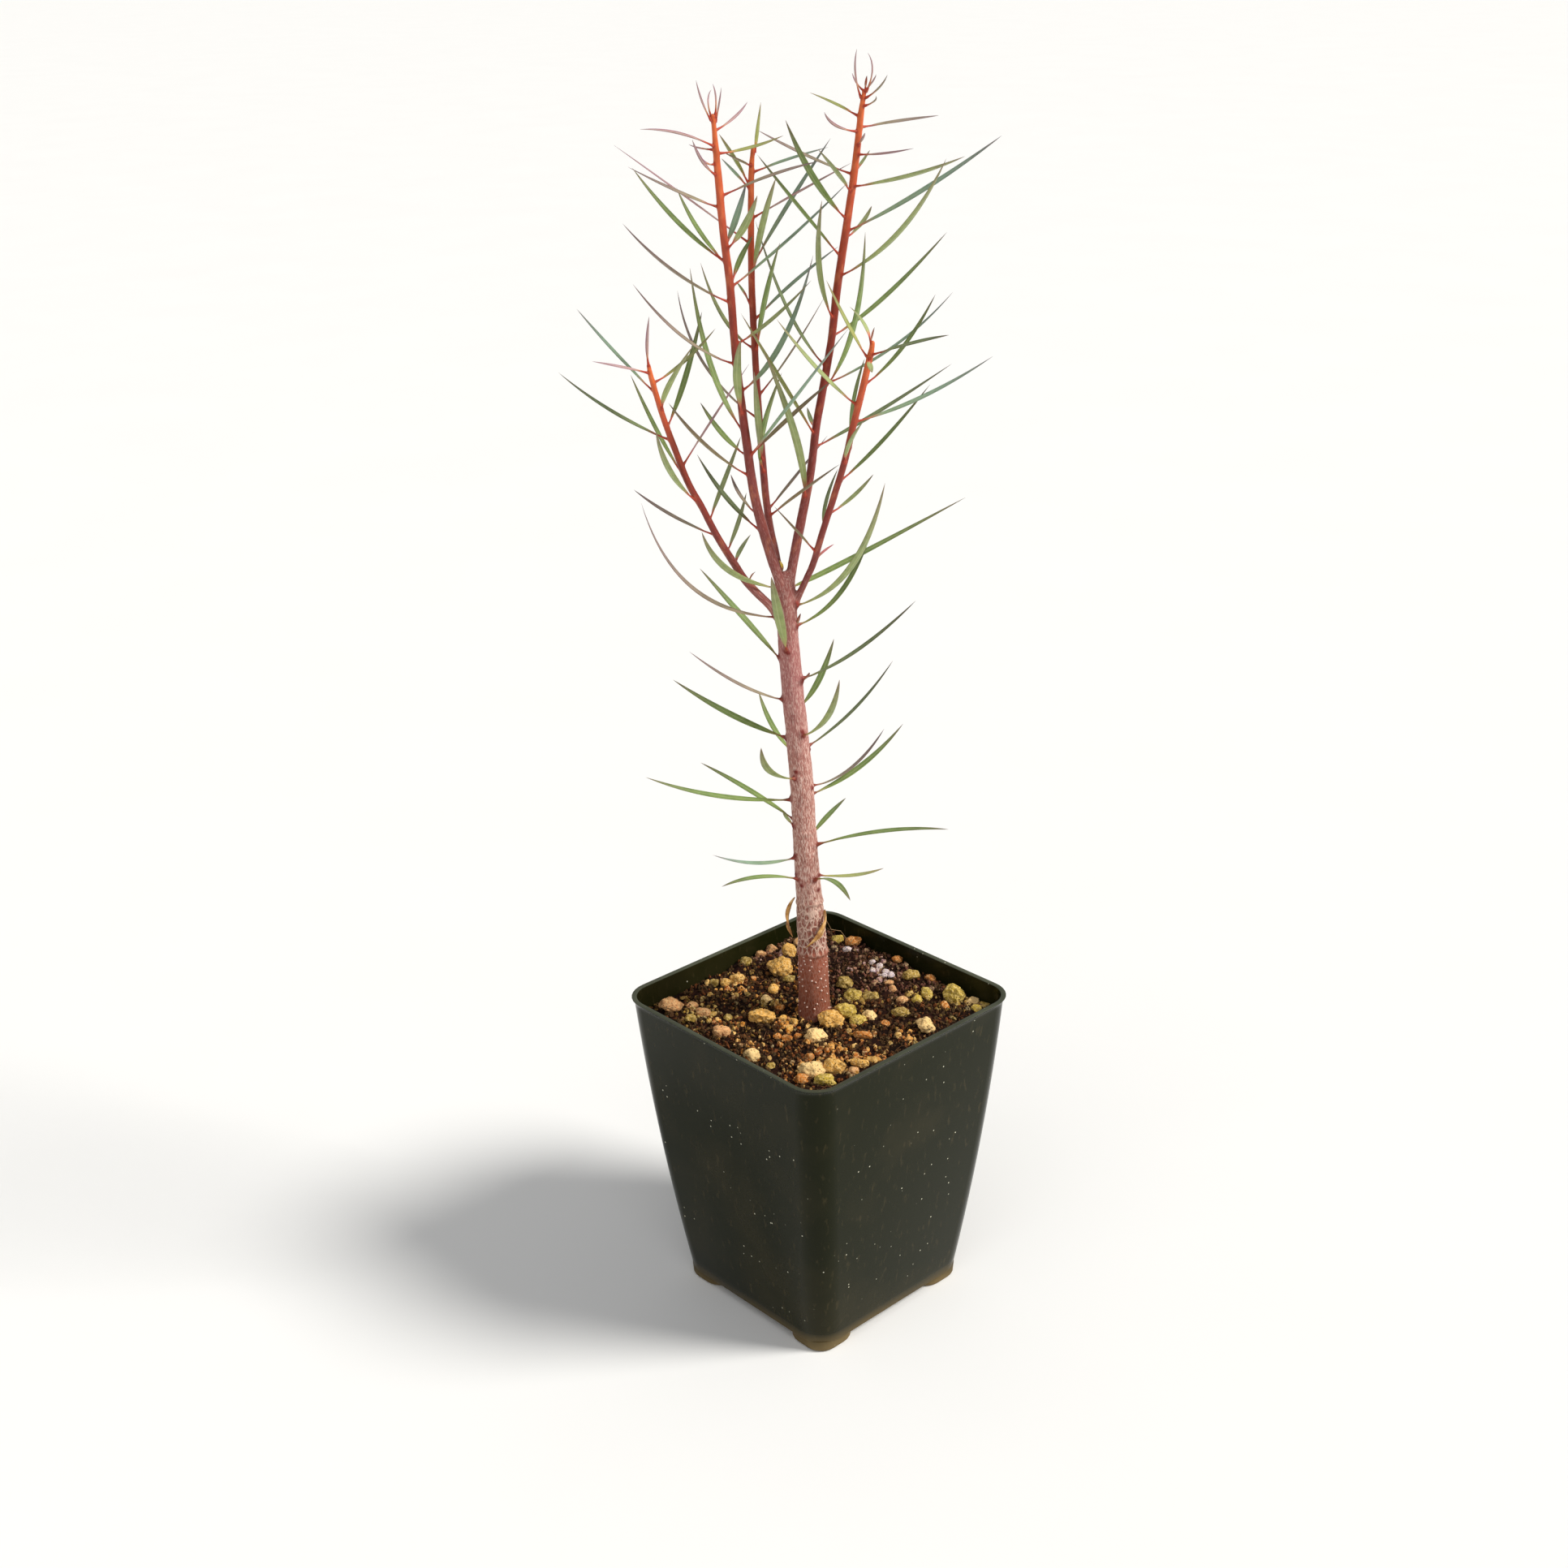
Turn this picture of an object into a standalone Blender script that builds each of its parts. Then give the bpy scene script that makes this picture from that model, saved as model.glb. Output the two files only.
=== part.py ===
"""Potted euphorbia: a young woody plant with narrow leaves, in a square plastic nursery pot.

The row frame is +Z up. The origin is on the pot's axis, on the surface the pot stands on, and the
pot's sides run along X and Y. The plant has a frame of its own on the soil: right, back and up,
with its front turned towards one corner of the pot.
"""
import math

import bmesh
import bpy
from mathutils import Matrix, Vector

MM = 0.001
GAP = 0.3 * MM  # between pieces that touch

# Pot
POT_HEIGHT = 106 * MM
POT_TOP_SIDE = 88.6 * MM  # outside, just under the rim
POT_BASE_SIDE = 67.1 * MM  # outside, at the floor
POT_BULGE = 1.0 * MM  # how far a wall stands out of the straight taper, half way up
POT_WALL = 0.9 * MM
POT_FLOOR = 1.2 * MM
POT_CORNER = 9.0 * MM
RIM_OUT = 0.8 * MM  # how far the rim bead stands out of the wall
RIM_TALL = 2.6 * MM
FOOT_TALL = 3.5 * MM
FOOT_SIDE = 17 * MM
FOOT_INSET = 0.7 * MM
TOE_ROUNDING = 0.36  # share of a foot's side
CORNER_SEGMENTS = 5
DRAIN_HOLE = 8 * MM
DRAIN_REACH = 21 * MM  # from the pot's axis to a drain hole

# Soil and the pumice lying in it
SOIL_BELOW_RIM = 7 * MM
SOIL_CROWN = 1.5 * MM
STONE_SUNK = 0.35  # share of a stone's height that is under the soil
STONE_REACH = 0.8  # share of half the soil's width that the stones are laid out on
STONE_TURN = 0.7  # from each stone to the next, radians
CROWN_FOOT = 0.66  # half diagonals of the crown's foot and top, as shares of the soil's width
CROWN_TOP = 0.2

# Plant
PLANT_TURN = math.radians(46.5)
PLANT_HEIGHT = 292 * MM  # soil to the highest leaf tip
DRAWN_HEIGHT = 292 * MM  # the same height in the tables below
STEM_THICKNESS = 1.0  # share of the thicknesses in STEMS
ROOT_DEPTH = 26 * MM
LEAF_WIDTH = 2.6 * MM
LEAF_THICKNESS = 0.5 * MM
LEAF_GAP = 0.45 * MM  # between a stem's bark and the foot of a leaf
LEAF_STATIONS = 8
STEM_SIDES = 2  # bevel resolution of a stem
CAP_WELD = 0.002 * MM
ROOT_TAPER = 0.8  # thickness of the trunk's buried end, as a share of its foot

# The plant is laid out on a front elevation, in millimetres to the right of the pot's axis and
# above the soil, drawn as seen by a viewer at this distance and height. A point that lies behind
# or in front of the elevation slides along the viewer's line of sight.
VIEWER_DISTANCE = 593
VIEWER_HEIGHT = 332

# Stem centre lines: right, height, back, thickness.
STEMS = {
    "trunk": (
        (-1.3, 0, 0, 10.4), (-1.5, 20, 0, 9.4), (-2.2, 40, 0, 8.0), (-2.8, 52, 0, 7.6),
        (-3.4, 65, 0, 7.3), (-3.9, 80, 0, 7.1), (-5.3, 100, 0, 6.7), (-6.7, 120, 0, 6.4),
        (-7.2, 131, 0, 6.0), (-7.3, 138, 0, 5.8), (-7.6, 144.5, 0, 5.6),
    ),
    "shoot_low_left": (
        (-12.2, 137.2, -1, 2.6), (-15.3, 140.5, -2, 2.5), (-19.2, 145, -3, 2.3), (-22.2, 150, -4, 2.2),
        (-25.1, 155, -5, 2.1), (-28, 160.5, -6, 2.0), (-31, 167, -7, 1.9), (-35, 175, -8, 1.8),
        (-38.4, 185, -9, 1.7), (-41.5, 195, -10, 1.5), (-43.9, 204.5, -10, 1.4), (-44.7, 209, -10, 1.1),
    ),
    "shoot_tall_left": (
        (-9.2, 144.6, -1.6, 3.2), (-11.4, 152, -3, 3.1), (-13, 158, -3, 3.0), (-15.2, 167, -3, 2.8),
        (-16.5, 175, -4, 2.6), (-17.6, 185, -4, 2.5), (-18.8, 197, -4, 2.3), (-20.1, 212, -5, 2.2),
        (-21, 230, -5, 2.1), (-22.4, 245, -6, 2.0), (-23.3, 260, -6, 1.9), (-24.2, 276, -6, 1.1),
    ),
    "shoot_middle": (
        (-9, 145.6, 2.4, 2.4), (-10.6, 155, 4, 2.3), (-11.8, 162, 5, 2.1), (-12.6, 170, 6, 2.0),
        (-13.3, 181, 7, 1.9), (-14, 195, 8, 1.8), (-14.6, 212, 9, 1.7), (-15, 230, 10, 1.6),
        (-14.8, 245, 11, 1.5), (-14.3, 260, 12, 1.3), (-13.6, 267.5, 12, 0.9),
    ),
    "shoot_tall_right": (
        (-6, 145.7, 0.8, 3.0), (-4.2, 155, 2, 2.9), (-2.1, 165, 3, 2.7), (0.4, 177, 5, 2.4),
        (2.2, 190, 6, 2.3), (4.1, 200, 7, 2.3), (6.9, 215, 8, 2.2), (8.8, 230, 9, 2.2),
        (11.3, 245, 10, 2.1), (13.7, 260, 10, 1.9), (15.6, 275, 10, 1.6), (16.6, 281.5, 10, 1.0),
    ),
    "shoot_low_right": (
        (-3.0, 141.6, -1, 2.1), (-1.2, 145.5, -2, 2.0), (0.8, 150, -3, 1.9), (4, 160.5, -5, 1.9),
        (7.1, 170, -6, 1.9), (10.2, 180, -8, 1.8), (12.7, 190, -9, 1.8), (15.3, 200, -10, 1.8),
        (17.6, 209.5, -10, 1.7), (18.5, 214, -10, 1.2),
    ),
}

# Leaves: stem, height of the node, middle (right, height), tip (right, height), tip back, width.
LEAVES = (
    ("trunk", 48, 11, 48.5, 21, 51, 22, 0.8),
    ("trunk", 49, 5.5, 46.5, 10.5, 40, -24, 0.9),
    ("trunk", 49, -18, 48.5, -29.5, 45.5, -24, 0.9),
    ("trunk", 56, -19, 53.3, -32, 56.5, -16, 0.9),
    ("trunk", 60, 21, 63.5, 41, 63.8, -16, 1.0),
    ("trunk", 61, 4, 69, 9.5, 75, 24, 1.0),
    ("trunk", 67, -20, 78, -34.5, 87.5, 24, 1.1),
    ("trunk", 75, -30, 76.3, -51.5, 83, -9, 1.1),
    ("trunk", 83, -13.5, 84, -16, 92, -30, 1.0),
    ("trunk", 78.5, 11, 84.5, 21.3, 97.5, 20, 0.8),
    ("trunk", 75.5, 14, 85.2, 27, 99, 30, 1.1),
    ("trunk", 91.5, 12, 103.5, 24, 119.3, 24, 0.7),
    ("trunk", 97, 4, 101, 8, 113.5, -28, 1.0),
    ("trunk", 95, -25, 103, -41.8, 114.5, 6, 1.2),
    ("trunk", 89, -12.5, 99, -16.3, 110.5, 28, 1.1),
    ("trunk", 108, -22, 112.5, -36.6, 123.3, -12, 0.8),
    ("trunk", 104, 1.7, 113, 6.5, 126.5, 28, 1.1),
    ("trunk", 114, 13, 122.3, 30.7, 137.8, 6, 0.9),
    ("trunk", 119.5, -21, 134.5, -32.5, 149, 18, 1.1),
    ("trunk", 130.5, 10, 142.5, 19.5, 166.5, 18, 1.0),
    ("trunk", 133.8, -35, 143, -48.7, 169, -12, 0.8),
    ("trunk", 137.5, 11.5, 148, 21.8, 173.5, -14, 1.0),
    ("trunk", 124, -9.8, 134, -11.6, 146, -24, 1.25),
    ("trunk", 143, -24, 148, -31.5, 160, -20, 1.1),
    ("shoot_low_left", 159, -40, 165, -50.6, 173, 14, 0.8),
    ("shoot_low_left", 187.5, -56, 196, -70.2, 207.3, 0, 0.8),
    ("shoot_low_left", 201.5, -54, 212.5, -64, 225, 6, 0.7),
    ("shoot_low_left", 206.8, -52, 208.5, -60.5, 210.3, -16, 0.7),
    ("shoot_tall_left", 226.3, -37, 235, -50, 248, -18, 0.7),
    ("shoot_tall_left", 237.5, -35, 248, -46.6, 262.7, -2, 0.9),
    ("shoot_tall_left", 268, -34, 271.6, -44, 272.7, -24, 0.7),
    ("shoot_tall_left", 274.5, -27, 279.5, -28.4, 285, -8, 0.5),
    ("shoot_tall_right", 184.7, 20, 194.2, 40.6, 207.5, 24, 0.8),
    ("shoot_tall_right", 216.3, 22, 226.5, 39, 243.8, 34, 0.9),
    ("shoot_tall_right", 233, 26, 244, 38.7, 263.3, -18, 0.9),
    ("shoot_tall_right", 245, 32, 254.8, 53.6, 269, 2, 0.9),
    ("shoot_tall_right", 256.7, 29, 259, 43.7, 263.8, -22, 0.8),
    ("shoot_tall_right", 272, 26, 273.3, 36.6, 274.6, 26, 0.6),
    ("shoot_tall_right", 279.5, 14.2, 286, 14.7, 292, 9, 0.5),
    ("shoot_low_right", 174.7, 21, 185.5, 34.6, 201.8, 8, 0.8),
    ("shoot_low_right", 191.7, 33, 198.4, 52.2, 209.4, -2, 0.8),
    ("shoot_low_right", 210.7, 29, 213.3, 39.8, 215.6, -28, 0.7),
)

# Dried leaves that hang against the trunk: foot, middle and tip, each by the angle round the trunk
# from its front (degrees, rightwards), the height and the distance off the bark.
DRIED_LEAVES = (
    ((-85, 41.5, 0.6), (-72, 34.5, 3.1), (-57, 28, 2.9)),
    ((85, 35, 0.65), (38, 29.5, 1.8), (-20, 23.5, 2.4)),
)
DRIED_WIDTH = 0.55

# Pumice: right and back, as shares of half the soil's width, then length, width and height.
STONES = (
    (-0.92, -0.30, 9.0, 7.0, 4.6),
    (-0.22, -0.46, 8.0, 6.5, 4.2),
    (0.05, 0.42, 9.5, 7.0, 4.8),
    (0.52, -0.32, 9.0, 6.5, 4.6),
    (0.33, -0.93, 8.5, 6.0, 4.4),
    (1.05, 0.02, 8.0, 7.5, 4.6),
)

# sRGB colour, roughness
COLOURS = {
    "pot": ("#1d2317", 0.25),
    "soil": ("#2a1710", 0.95),
    "stone": ("#cdb781", 0.9),
    "trunk": ("#9c5f50", 0.7),
    "shoot": ("#a83f28", 0.45),
    "leaf": ("#7f9a4a", 0.5),
    "dried": ("#b89468", 0.8),
}


def clear_scene():
    for item in list(bpy.data.objects):
        bpy.data.objects.remove(item, do_unlink=True)


def make_collection(name):
    group = bpy.data.collections.new(name)
    bpy.context.scene.collection.children.link(group)
    return group


def linear(channel):
    return channel / 12.92 if channel <= 0.04045 else ((channel + 0.055) / 1.055) ** 2.4


def make_material(name):
    colour, roughness = COLOURS[name]
    shades = [linear(int(colour[start:start + 2], 16) / 255) for start in (1, 3, 5)]
    material = bpy.data.materials.new(name)
    material.use_nodes = True
    shader = material.node_tree.nodes["Principled BSDF"]
    shader.inputs["Base Color"].default_value = (*shades, 1)
    shader.inputs["Roughness"].default_value = roughness
    shader.inputs["Metallic"].default_value = 0
    return material


def add_object(name, data, group, material=None):
    item = bpy.data.objects.new(name, data)
    group.objects.link(item)
    if material:
        data.materials.append(material)
    return item


def hide_guide(item):
    item.hide_render = True
    item.display_type = "WIRE"
    return item


# ---------------------------------------------------------------- pot


def wall_side(height):
    """Outside width of the pot's walls at a height: a straight taper with a slight bulge."""
    share = (height - FOOT_TALL) / (POT_HEIGHT - FOOT_TALL)
    straight = POT_BASE_SIDE + (POT_TOP_SIDE - POT_BASE_SIDE) * share
    return straight + 2 * POT_BULGE * 4 * share * (1 - share)


def rim_foot():
    return POT_HEIGHT - RIM_TALL


def floor_top():
    return FOOT_TALL + POT_FLOOR


def soil_top():
    return POT_HEIGHT - SOIL_BELOW_RIM


def wall_heights():
    """Heights at which the flat facets of the walls meet, from the floor to the rim."""
    return [FOOT_TALL + (rim_foot() - FOOT_TALL) * share for share in (0, 0.25, 0.5, 0.75, 1)]


def cavity_levels():
    """Height and side of the space inside the walls, from the floor to above the rim."""
    inner = [(height, wall_side(height) - 2 * POT_WALL) for height in wall_heights()[1:]]
    low_side = wall_side(floor_top()) - 2 * POT_WALL
    return [(floor_top(), low_side), *inner, (POT_HEIGHT + RIM_TALL, inner[-1][1])]


def inner_side(height):
    """Width between the walls at a height, along their facets."""
    levels = cavity_levels()
    for (low, low_side), (high, high_side) in zip(levels, levels[1:]):
        if low <= height <= high:
            return low_side + (high_side - low_side) * (height - low) / (high - low)
    return levels[-1][1]


def round_uprights(item, radius):
    """A Bevel on the edges of a mesh object that climb, and on no other."""
    mesh = item.data
    weights = mesh.attributes.new("bevel_weight_edge", "FLOAT", "EDGE")
    for edge in mesh.edges:
        low, high = [mesh.vertices[index].co.z for index in edge.vertices]
        weights.data[edge.index].value = 1 if abs(high - low) > GAP / 10 else 0
    bevel = item.modifiers.new("corners", "BEVEL")
    bevel.limit_method = "WEIGHT"
    bevel.width = radius
    bevel.segments = CORNER_SEGMENTS


def tapered_block(name, levels, corner, group, material=None):
    """A square block through levels of (height, side), its upright edges rounded by a Bevel."""
    mesh = bpy.data.meshes.new(name)
    form = bmesh.new()
    bmesh.ops.create_cube(form, size=2)
    uprights = [edge for edge in form.edges if abs(edge.verts[0].co.z - edge.verts[1].co.z) > 1]
    cuts = len(levels) - 2
    if cuts:
        bmesh.ops.subdivide_edges(form, edges=uprights, cuts=cuts, use_grid_fill=True)
    steps = len(levels) - 1
    for vert in form.verts:
        height, side = levels[round((vert.co.z + 1) / 2 * steps)]
        corner_x = math.copysign(side / 2, vert.co.x)
        corner_y = math.copysign(side / 2, vert.co.y)
        vert.co = (corner_x, corner_y, height)
    form.to_mesh(mesh)
    form.free()
    block = add_object(name, mesh, group, material)
    round_uprights(block, corner)
    return block


def boolean(target, operation, cutter):
    cut = target.modifiers.new(cutter.name, "BOOLEAN")
    cut.operation = operation
    cut.object = cutter
    cut.solver = "EXACT"


def make_feet(cutters):
    """Four pads under the floor's corners, with rounded toes, as one guide for the union."""
    mesh = bpy.data.meshes.new("feet")
    form = bmesh.new()
    reach = POT_BASE_SIDE / 2 - FOOT_INSET - FOOT_SIDE / 2
    tall = FOOT_TALL + POT_FLOOR / 2
    for right in (-1, 1):
        for back in (-1, 1):
            seat = Matrix.Translation((right * reach, back * reach, tall / 2))
            bmesh.ops.create_cube(form, size=1, matrix=seat @ Matrix.Diagonal((FOOT_SIDE, FOOT_SIDE, tall, 1)))
    form.to_mesh(mesh)
    form.free()
    feet = hide_guide(add_object("feet_union", mesh, cutters))
    round_uprights(feet, FOOT_SIDE * TOE_ROUNDING)
    return feet


def make_drain_holes(cutters):
    mesh = bpy.data.meshes.new("drain_holes")
    form = bmesh.new()
    middle = FOOT_TALL + POT_FLOOR / 2
    for turn in range(4):
        angle = math.radians(90 * turn)
        seat = (DRAIN_REACH * math.cos(angle), DRAIN_REACH * math.sin(angle), middle)
        bmesh.ops.create_cone(
            form, cap_ends=True, segments=16, radius1=DRAIN_HOLE / 2, radius2=DRAIN_HOLE / 2,
            depth=4 * POT_FLOOR, matrix=Matrix.Translation(seat))
    form.to_mesh(mesh)
    form.free()
    return hide_guide(add_object("drain_holes", mesh, cutters))


def make_pot(group, cutters):
    outer = [(height, wall_side(height)) for height in wall_heights()]
    rim_side = wall_side(rim_foot()) + 2 * RIM_OUT
    outer += [(rim_foot() + RIM_OUT / 2, rim_side), (POT_HEIGHT, rim_side)]
    pot = tapered_block("pot", outer, POT_CORNER, group, make_material("pot"))
    cavity = hide_guide(tapered_block("cavity", cavity_levels(), POT_CORNER - POT_WALL, cutters))
    boolean(pot, "UNION", make_feet(cutters))
    boolean(pot, "DIFFERENCE", cavity)
    boolean(pot, "DIFFERENCE", make_drain_holes(cutters))
    return pot


# ---------------------------------------------------------------- plant frame


def plant_scale():
    return PLANT_HEIGHT / DRAWN_HEIGHT


def plant_point(right, height, back):
    """World place of a point of the elevation that lies back behind it (forward if negative)."""
    spread = (VIEWER_DISTANCE + back) / VIEWER_DISTANCE
    lift = VIEWER_HEIGHT + (height - VIEWER_HEIGHT) * spread
    own = Vector((right * spread, back, lift)) * plant_scale() * MM
    return Matrix.Rotation(PLANT_TURN, 3, "Z") @ own + Vector((0, 0, soil_top()))


def stem_at(stem, height):
    """Centre (right, back) and thickness of a stem at a height of the elevation."""
    rows = STEMS[stem]
    below, above = rows[0], rows[-1]
    for first, second in zip(rows, rows[1:]):
        if first[1] <= height <= second[1]:
            below, above = first, second
    share = min(1, max(0, (height - below[1]) / (above[1] - below[1])))
    mix = [start + (end - start) * share for start, end in zip(below, above)]
    return mix[0], mix[2], mix[3] * STEM_THICKNESS


def add_curve(name, points, radii, group, material):
    """A POLY curve through world points with a radius at each one."""
    data = bpy.data.curves.new(name, "CURVE")
    data.dimensions = "3D"
    data.twist_mode = "Z_UP"
    data.use_fill_caps = True
    spline = data.splines.new("POLY")
    spline.points.add(len(points) - 1)
    for knot, place, radius in zip(spline.points, points, radii):
        knot.co = (*place, 1)
        knot.radius = radius
    curve = add_object(name, data, group, material)
    weld = curve.modifiers.new("caps", "WELD")
    weld.merge_threshold = CAP_WELD
    return curve


# ---------------------------------------------------------------- soil and stones


def stone_seats():
    """Place, size and turn of each stone, on the soil between the pot's walls."""
    half = inner_side(soil_top()) / 2
    for index, (right, back, long, wide, tall) in enumerate(STONES):
        reach = half * STONE_REACH
        flat = Matrix.Rotation(PLANT_TURN, 3, "Z") @ Vector((right * reach, back * reach, 0))
        slope = 1 - max(abs(flat.x), abs(flat.y)) / half
        surface = soil_top() + SOIL_CROWN * (slope - 0.5)
        size = Vector((long, wide, tall)) * MM
        lift = surface + size.z * (0.5 - STONE_SUNK)
        yield Vector((flat.x, flat.y, lift)), size, STONE_TURN * index


def add_stone(form, place, size, turn, clear):
    scale = Matrix.Diagonal((size.x / 2 + clear, size.y / 2 + clear, size.z / 2 + clear, 1))
    matrix = Matrix.Translation(place) @ Matrix.Rotation(turn, 4, "Z") @ scale
    bmesh.ops.create_icosphere(form, subdivisions=2, radius=1, matrix=matrix)


def make_stones(group, cutters):
    """The stones, and one cutter with their sockets in the soil."""
    sockets = bmesh.new()
    for index, (place, size, turn) in enumerate(stone_seats(), 1):
        form = bmesh.new()
        add_stone(form, place, size, turn, 0)
        mesh = bpy.data.meshes.new(f"pumice_{index}")
        form.to_mesh(mesh)
        form.free()
        add_object(f"pumice_{index}", mesh, group, make_material("stone"))
        add_stone(sockets, place, size, turn, GAP)
    mesh = bpy.data.meshes.new("stone_sockets")
    sockets.to_mesh(mesh)
    sockets.free()
    return hide_guide(add_object("stone_sockets", mesh, cutters))


def make_root_socket(cutters):
    """The hole in the soil that the buried foot of the trunk fills."""
    right, back, thickness = stem_at("trunk", 0)
    radius = thickness / 2 * plant_scale() * MM + GAP
    top = plant_point(right, 0, back)
    low = Vector((top.x, top.y, soil_top() - ROOT_DEPTH - GAP))
    high = Vector((top.x, top.y, soil_top() + 4 * SOIL_CROWN))
    mesh = bpy.data.meshes.new("root_socket")
    form = bmesh.new()
    bmesh.ops.create_cone(
        form, cap_ends=True, segments=24, radius1=radius, radius2=radius, depth=high.z - low.z,
        matrix=Matrix.Translation((low + high) / 2))
    form.to_mesh(mesh)
    form.free()
    return hide_guide(add_object("root_socket", mesh, cutters))


def make_soil(group, cutters):
    low = floor_top() + GAP
    high = soil_top() - SOIL_CROWN / 2
    facets = [height for height in wall_heights() if low < height < high]
    levels = [(height, inner_side(height) - 2 * GAP) for height in (low, *facets, high)]
    soil = tapered_block("soil", levels, POT_CORNER - POT_WALL - GAP, group, make_material("soil"))
    crown = hide_guide(make_crown(cutters, high, levels[-1][1]))
    boolean(soil, "UNION", crown)
    boolean(soil, "DIFFERENCE", make_stones(group, cutters))
    boolean(soil, "DIFFERENCE", make_root_socket(cutters))
    return soil


def make_crown(cutters, high, side):
    """A low dome that raises the middle of the soil's top."""
    mesh = bpy.data.meshes.new("soil_crown")
    form = bmesh.new()
    sunk = SOIL_CROWN * 2
    bmesh.ops.create_cone(
        form, cap_ends=True, segments=4, radius1=side * CROWN_FOOT, radius2=side * CROWN_TOP,
        depth=SOIL_CROWN + sunk,
        matrix=Matrix.Translation((0, 0, high + (SOIL_CROWN - sunk) / 2)) @ Matrix.Rotation(math.pi / 4, 4, "Z"))
    form.to_mesh(mesh)
    form.free()
    return add_object("soil_crown", mesh, cutters)


# ---------------------------------------------------------------- stems and leaves


def make_stems(group):
    for name, rows in STEMS.items():
        points = [plant_point(right, height, back) for right, height, back, thickness in rows]
        radii = [row[3] / 2 * STEM_THICKNESS * plant_scale() for row in rows]
        if name == "trunk":
            points.insert(0, points[0] - Vector((0, 0, ROOT_DEPTH)))
            radii.insert(0, radii[0] * ROOT_TAPER)
        material = make_material("trunk" if name == "trunk" else "shoot")
        stem = add_curve(name, points, radii, group, material)
        stem.data.bevel_depth = MM
        stem.data.bevel_resolution = STEM_SIDES


def make_leaf_outline(cutters):
    """The cross-section of a leaf at its widest: a flat lens."""
    data = bpy.data.curves.new("leaf_outline", "CURVE")
    data.dimensions = "2D"
    spline = data.splines.new("POLY")
    angles = [math.radians(-60 * step) for step in range(6)]
    corners = [(math.cos(angle), math.sin(angle)) for angle in angles]
    spline.points.add(len(corners) - 1)
    for knot, (across, up) in zip(spline.points, corners):
        knot.co = (across * LEAF_WIDTH / 2, up * LEAF_THICKNESS / 2, 0, 1)
    spline.use_cyclic_u = True
    return hide_guide(add_object("leaf_outline", data, cutters))


def blade_share(along):
    """Width of a leaf along its length, as a share of its widest: stalk, blade and point."""
    blade = 0.3 + 0.7 * math.sin(math.pi * along ** 0.9)
    return blade * (1 - along ** 6) + 0.08


def arc_through(start, middle, end, stations):
    """Points of the parabola that starts, passes its middle and ends at three points."""
    bend = 2 * middle - (start + end) / 2
    points = []
    for station in range(stations):
        share = station / (stations - 1)
        points.append(start * (1 - share) ** 2 + bend * 2 * share * (1 - share) + end * share ** 2)
    return points


def leaf_foot(stem, height, towards):
    """Where a leaf starts, just off the bark, on the side that it grows to."""
    right, back, thickness = stem_at(stem, height)
    centre = plant_point(right, height, back)
    heading = towards - centre
    heading.z = 0
    return centre + heading.normalized() * (thickness / 2 * plant_scale() * MM + LEAF_GAP)


def add_leaf(name, points, share, group, outline, material):
    stations = len(points) - 1
    radii = [share * blade_share(index / stations) for index in range(len(points))]
    leaf = add_curve(name, points, radii, group, material)
    leaf.data.bevel_mode = "OBJECT"
    leaf.data.bevel_object = outline


def make_leaves(group, outline):
    counts = {}
    for stem, node, mid_right, mid_height, tip_right, tip_height, tip_back, share in LEAVES:
        stem_back = stem_at(stem, node)[1]
        middle = plant_point(mid_right, mid_height, (stem_back + tip_back) / 2)
        tip = plant_point(tip_right, tip_height, tip_back)
        foot = leaf_foot(stem, node, middle)
        counts[stem] = counts.get(stem, 0) + 1
        name = f"leaf_{stem}_{counts[stem]:02d}"
        add_leaf(name, arc_through(foot, middle, tip, LEAF_STATIONS), share, group, outline, make_material("leaf"))


def off_trunk(degrees, height, distance):
    """World place at a distance off the trunk's bark."""
    right, back, thickness = stem_at("trunk", height)
    reach = thickness / 2 + distance
    angle = math.radians(degrees)
    return plant_point(right + reach * math.sin(angle), height, back - reach * math.cos(angle))


def make_dried_leaves(group, outline):
    for index, rows in enumerate(DRIED_LEAVES, 1):
        points = arc_through(*[off_trunk(*row) for row in rows], LEAF_STATIONS)
        add_leaf(f"dried_leaf_{index}", points, DRIED_WIDTH, group, outline, make_material("dried"))


def main():
    clear_scene()
    plant = make_collection("potted_euphorbia")
    cutters = make_collection("cutters")
    make_pot(plant, cutters)
    make_soil(plant, cutters)
    make_stems(plant)
    outline = make_leaf_outline(cutters)
    make_leaves(plant, outline)
    make_dried_leaves(plant, outline)


main()
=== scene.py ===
"""Looks of a potted euphorbia: a young woody plant in a square nursery pot.

The row frame is +Z up, with the origin on the pot's axis on the surface it stands on and the pot's
sides along X and Y. The plant is laid out on a front elevation of its own: millimetres to the
right of the pot's axis and above the soil, as seen by a viewer in front of it.
"""
import math
import random

import bmesh
import bpy
import numpy as np
from bpy.props import FloatProperty, FloatVectorProperty, IntProperty, PointerProperty
from mathutils import Matrix, Vector, noise


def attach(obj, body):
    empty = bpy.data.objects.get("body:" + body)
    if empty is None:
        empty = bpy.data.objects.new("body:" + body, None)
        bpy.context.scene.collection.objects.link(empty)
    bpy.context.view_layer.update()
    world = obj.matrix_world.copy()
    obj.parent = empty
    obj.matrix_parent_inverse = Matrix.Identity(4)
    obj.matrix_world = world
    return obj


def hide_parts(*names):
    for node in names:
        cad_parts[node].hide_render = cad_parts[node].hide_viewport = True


bl_info = {
    "name": "Potted euphorbia",
    "version": (1, 0, 0),
    "blender": (4, 5, 0),
    "location": "View3D > Sidebar > Euphorbia",
    "description": "Builds a young euphorbia in a square nursery pot",
    "category": "Add Mesh",
}

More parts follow.
